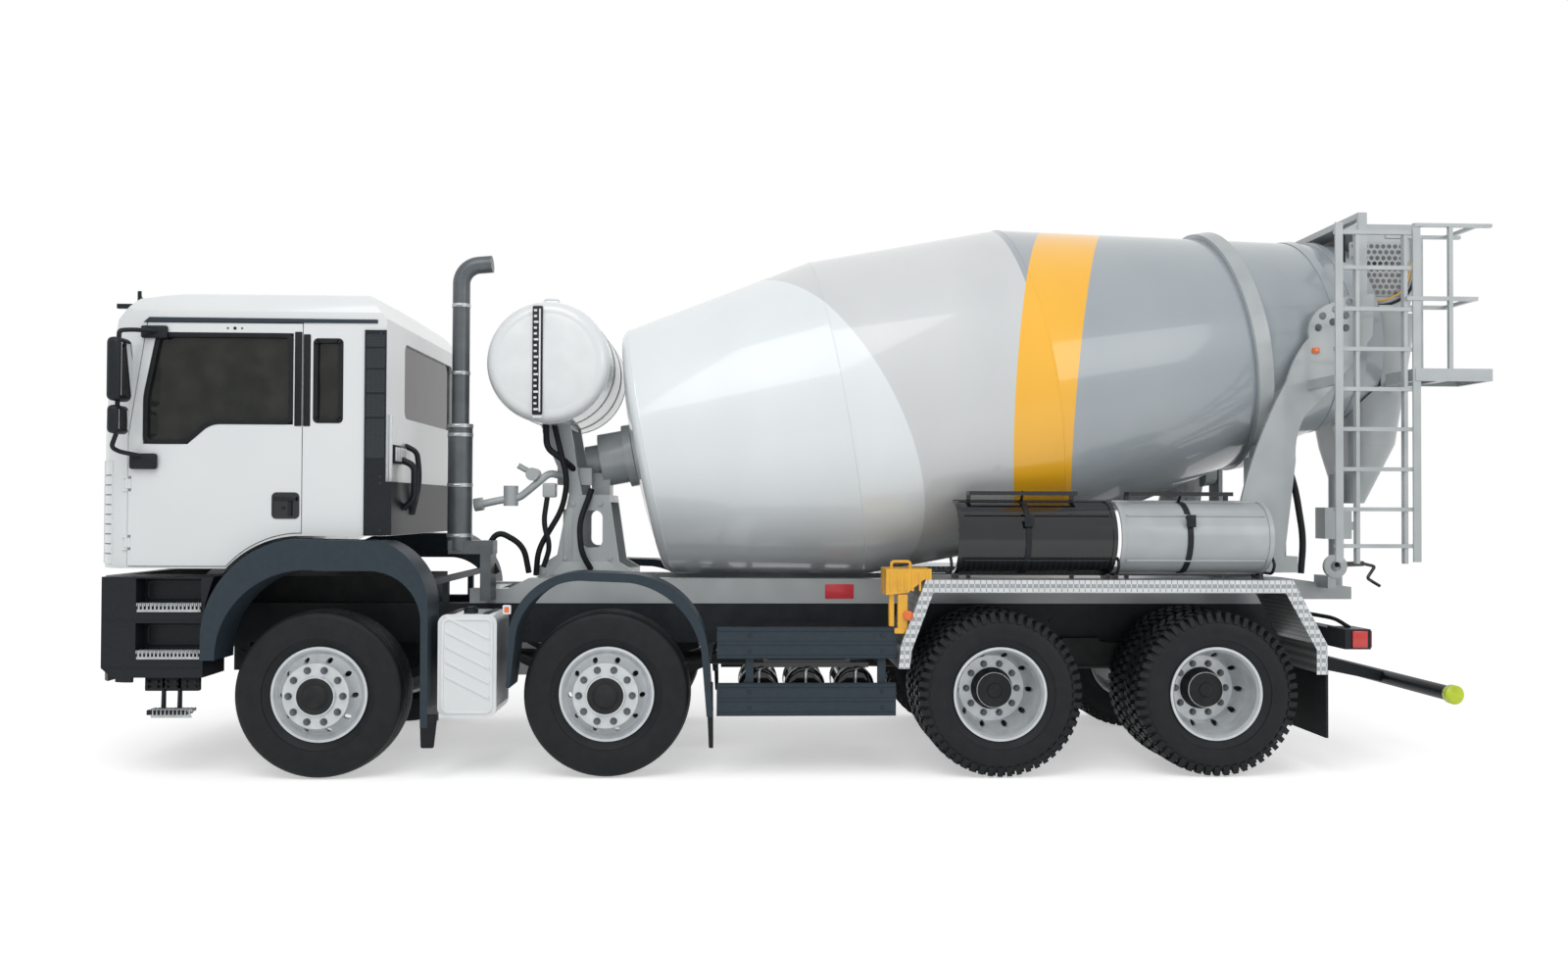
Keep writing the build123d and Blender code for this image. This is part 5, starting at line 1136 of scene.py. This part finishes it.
# rear hoses, the yellow one beside the loop, and the hood's crank
rearHose = {
    "loop": [
        (6.90, -0.47, 3.70), (6.90, -0.475, 3.42), (6.98, -0.475, 3.22), (7.18, -0.475, 3.15),
        (7.38, -0.475, 3.24), (7.43, -0.475, 3.46), (7.42, -0.47, 3.66),
    ],
    "upright": [(6.377, -0.72, 2.05), (6.424, -0.75, 1.85), (6.478, -0.75, 1.516), (6.463, -0.74, 1.282)],
    "low": [(6.50, -0.42, 0.98), (6.56, -0.62, 1.0), (6.62, -0.9, 0.99), (6.64, -1.05, 0.945)],
}
bm = bmesh.new()
addTube(bm, rearHose["loop"], 0.11, 0.011, 10, 6)
addTube(bm, rearHose["upright"], 0.12, 0.022, 12, 6)
addTube(bm, rearHose["low"], 0.1, 0.014, 8, 6)
addObject("rear_hoses", bm, "flapRubber", "chassis")
bm = bmesh.new()
addTube(bm, [(run - 0.03, y + 0.004, z + 0.03) for run, y, z in rearHose["loop"][1:-1]], 0.1, 0.006, 8, 6)
addObject("rear_hose_yellow", bm, "chockYellow", "chassis")
crank = [(7.17, -0.2, 1.326), (7.265, -0.2, 1.305), (7.206, -0.2, 1.219), (7.301, -0.2, 1.162)]
bm = bmesh.new()
addTube(bm, crank, 0.02, 0.012, 10)
addRod(bm, at(6.95, -0.26, 1.32), at(7.175, -0.2, 1.325), 0.02, 12)
addObject("hood_crank", bm, "tankBlack", "chassis")

# rear lamps and markers, and the caps on the underrun's ends
bm = bmesh.new()
addBox(bm, (6.505, -0.845, 2.775), (6.55, -0.815, 2.812), 0.006)
addObject("pedestal_marker", bm, "markerOrange", "chassis")
rearLamps = {
    "side": 1.1702, "back": 6.7252, "low": 0.822, "high": 0.932, "depth": 0.012,
    # name, near and far across the truck, look
    "lamps": (
        ("red", 1.09, 1.165, "markerRed"), ("orange", 1.01, 1.08, "markerOrange"),
        ("clear", 0.94, 1.0, "lampClear"),
    ),
    "cap": [(0, 0.0), (0, 0.056), (0.01, 0.062), (0.05, 0.062), (0.062, 0.05), (0.064, 0)],
}
for sideName, hand in sides:
    back, side, low, high, depth = (rearLamps[key] for key in ("back", "side", "low", "high", "depth"))
    for name, near, far, look in rearLamps["lamps"]:
        bm = bmesh.new()
        if name == "red":  # the red one also shows on the side
            addBox(bm, (6.60, side, low), (6.70, side + depth, high), 0.005, hand=hand)
        addBox(bm, (back, near, low), (back + depth, far, high), 0.005, hand=hand)
        addObject(f"{sideName}_rear_lamp_{name}", bm, look, "chassis")
    bm = bmesh.new()
    addTurned(bm, rearLamps["cap"], 7.227, hand * 1.2101, 0.53, hand, 36)
    addObject(f"{sideName}_underrun_cap", bm, "capGreen", "chassis")
print("rear details done")

# seats: sprung bases with soft cushions and backs
seat = {
    "run": -0.33, "y": 0.60, "bellows": 5, "pitch": 0.03, "fold": 0.012, "backRun": -0.10, "lean": 7.5,
    "crown": 0.05,
}


def addCushion(bm, low, high):
    # a crowned pad: the middle of every face stands out and the sides pull in between the corners
    low, high = Vector(low), Vector(high)
    pad = bmesh.new()
    bmesh.ops.create_cube(pad, size=1.0)
    bmesh.ops.subdivide_edges(pad, edges=pad.edges[:], cuts=9, use_grid_fill=True)
    place = Matrix.Translation((low + high) / 2) @ Matrix.Diagonal((*(high - low), 1))
    for vert in pad.verts:
        x, y, z = (coordinate * coordinate * 4 for coordinate in vert.co)
        puff = 1 + seat["crown"] * ((1 - x) * (1 - y) + (1 - y) * (1 - z) + (1 - x) * (1 - z))
        corner = 1 - 0.07 * (x * y + y * z + x * z)
        vert.co = place @ (vert.co * corner * puff * 0.93)
    joinInto(bm, pad)


for sideName, hand in sides:
    run, y = seat["run"], hand * seat["y"]
    bm = bmesh.new()
    addBox(bm, (run - 0.19, y - 0.19, 1.59), (run + 0.19, y + 0.19, 1.66), 0.02, 3)
    for step in range(seat["bellows"]):
        half = 0.18 - (seat["fold"] if step % 2 else 0.0)
        z = 1.665 + step * seat["pitch"]
        addBox(bm, (run - half, y - half, z), (run + half, y + half, z + 0.028), 0.01)
    addBox(bm, (run - 0.22, y - 0.21, 1.80), (run + 0.22, y + 0.21, 1.822), 0.008)
    if hand == 1:  # the bar that joins both seats
        addBox(bm, (run - 0.15, -0.65, 1.80), (run + 0.15, 0.65, 1.824), 0.006)
    obj = addObject(f"{sideName}_seat_base", bm, "blackPlastic", "cab")
    if hand == 1:
        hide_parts("seats")
    bm = bmesh.new()
    addCushion(bm, at(run - 0.26, y - 0.25, 1.815), at(run + 0.26, y + 0.25, 1.945))
    cushion = addObject(f"{sideName}_seat_cushion", bm, "seatFabric", "cab")
    # back and headrest, drawn upright and then leaned
    bm = bmesh.new()
    addCushion(bm, (-0.06, -0.24, 0.0), (0.06, 0.24, 0.62))
    addCushion(bm, (-0.045, -0.14, 0.63), (0.045, 0.14, 0.80))
    leaned = Matrix.Rotation(math.radians(seat["lean"]), 4, "Y")
    bmesh.ops.transform(bm, matrix=Matrix.Translation(at(seat["backRun"], y, 1.945)) @ leaned, verts=bm.verts)
    back = addObject(f"{sideName}_seat_back", bm, "seatFabric", "cab")
print("seats done")

# floor that fades to white for the eye but keeps the shadow
floorMesh = bpy.data.meshes.new("floor")
bm = bmesh.new()
bmesh.ops.create_grid(bm, x_segments=1, y_segments=1, size=60)
bm.to_mesh(floorMesh)
bm.free()
floor = bpy.data.objects.new("floor", floorMesh)
bpy.context.scene.collection.objects.link(floor)


def seenRays(tree):
    # one for the camera, mirrors and glass, nothing for the light itself
    path = addNode(tree, "ShaderNodeLightPath")
    total = path.outputs["Is Camera Ray"]
    for other in ("Is Glossy Ray", "Is Transmission Ray"):
        add = addNode(tree, "ShaderNodeMath", operation="MAXIMUM")
        tree.links.new(total, add.inputs[0])
        tree.links.new(path.outputs[other], add.inputs[1])
        total = add.outputs[0]
    return total


studio = {"floorColor": (0.9, 0.9, 0.9, 1), "floorLift": 0.46, "worldLight": 0.62}
mat, tree, shader = makeMaterial("floorWhite")
shader.inputs["Base Color"].default_value = studio["floorColor"]
shader.inputs["Roughness"].default_value = 0.95
shader.inputs["Specular IOR Level"].default_value = 0.0
lift = addNode(tree, "ShaderNodeMath", operation="MULTIPLY")
tree.links.new(seenRays(tree), lift.inputs[0])
lift.inputs[1].default_value = studio["floorLift"]
shader.inputs["Emission Color"].default_value = (1, 1, 1, 1)
tree.links.new(lift.outputs[0], shader.inputs["Emission Strength"])
floorMesh.materials.append(mat)

world = bpy.data.worlds.new("studio")
bpy.context.scene.world = world
world.use_nodes = True
tree = world.node_tree
background = tree.nodes["Background"]
background.inputs["Color"].default_value = (1, 1, 1, 1)
level = addNode(tree, "ShaderNodeMapRange")
level.inputs["To Min"].default_value = studio["worldLight"]
level.inputs["To Max"].default_value = 1.0
tree.links.new(seenRays(tree), level.inputs["Value"])
tree.links.new(level.outputs["Result"], background.inputs["Strength"])

# name, place, target, size, watts
lights = [
    ("keyTop", (-2.5, -8.0, 9.5), (0, 0, 1.5), 7.0, 420),
    ("rearFill", (7.0, -8.0, 5.0), (1.5, 0, 1.5), 4.0, 110),
]
for name, place, target, size, watts in lights:
    data = bpy.data.lights.new(name, "AREA")
    data.size = size
    data.energy = watts
    lamp = bpy.data.objects.new(name, data)
    bpy.context.scene.collection.objects.link(lamp)
    lamp.location = place
    lamp.rotation_euler = (Vector(target) - Vector(place)).to_track_quat("-Z", "Y").to_euler()
bpy.context.scene.view_settings.view_transform = "Standard"
print("studio done")
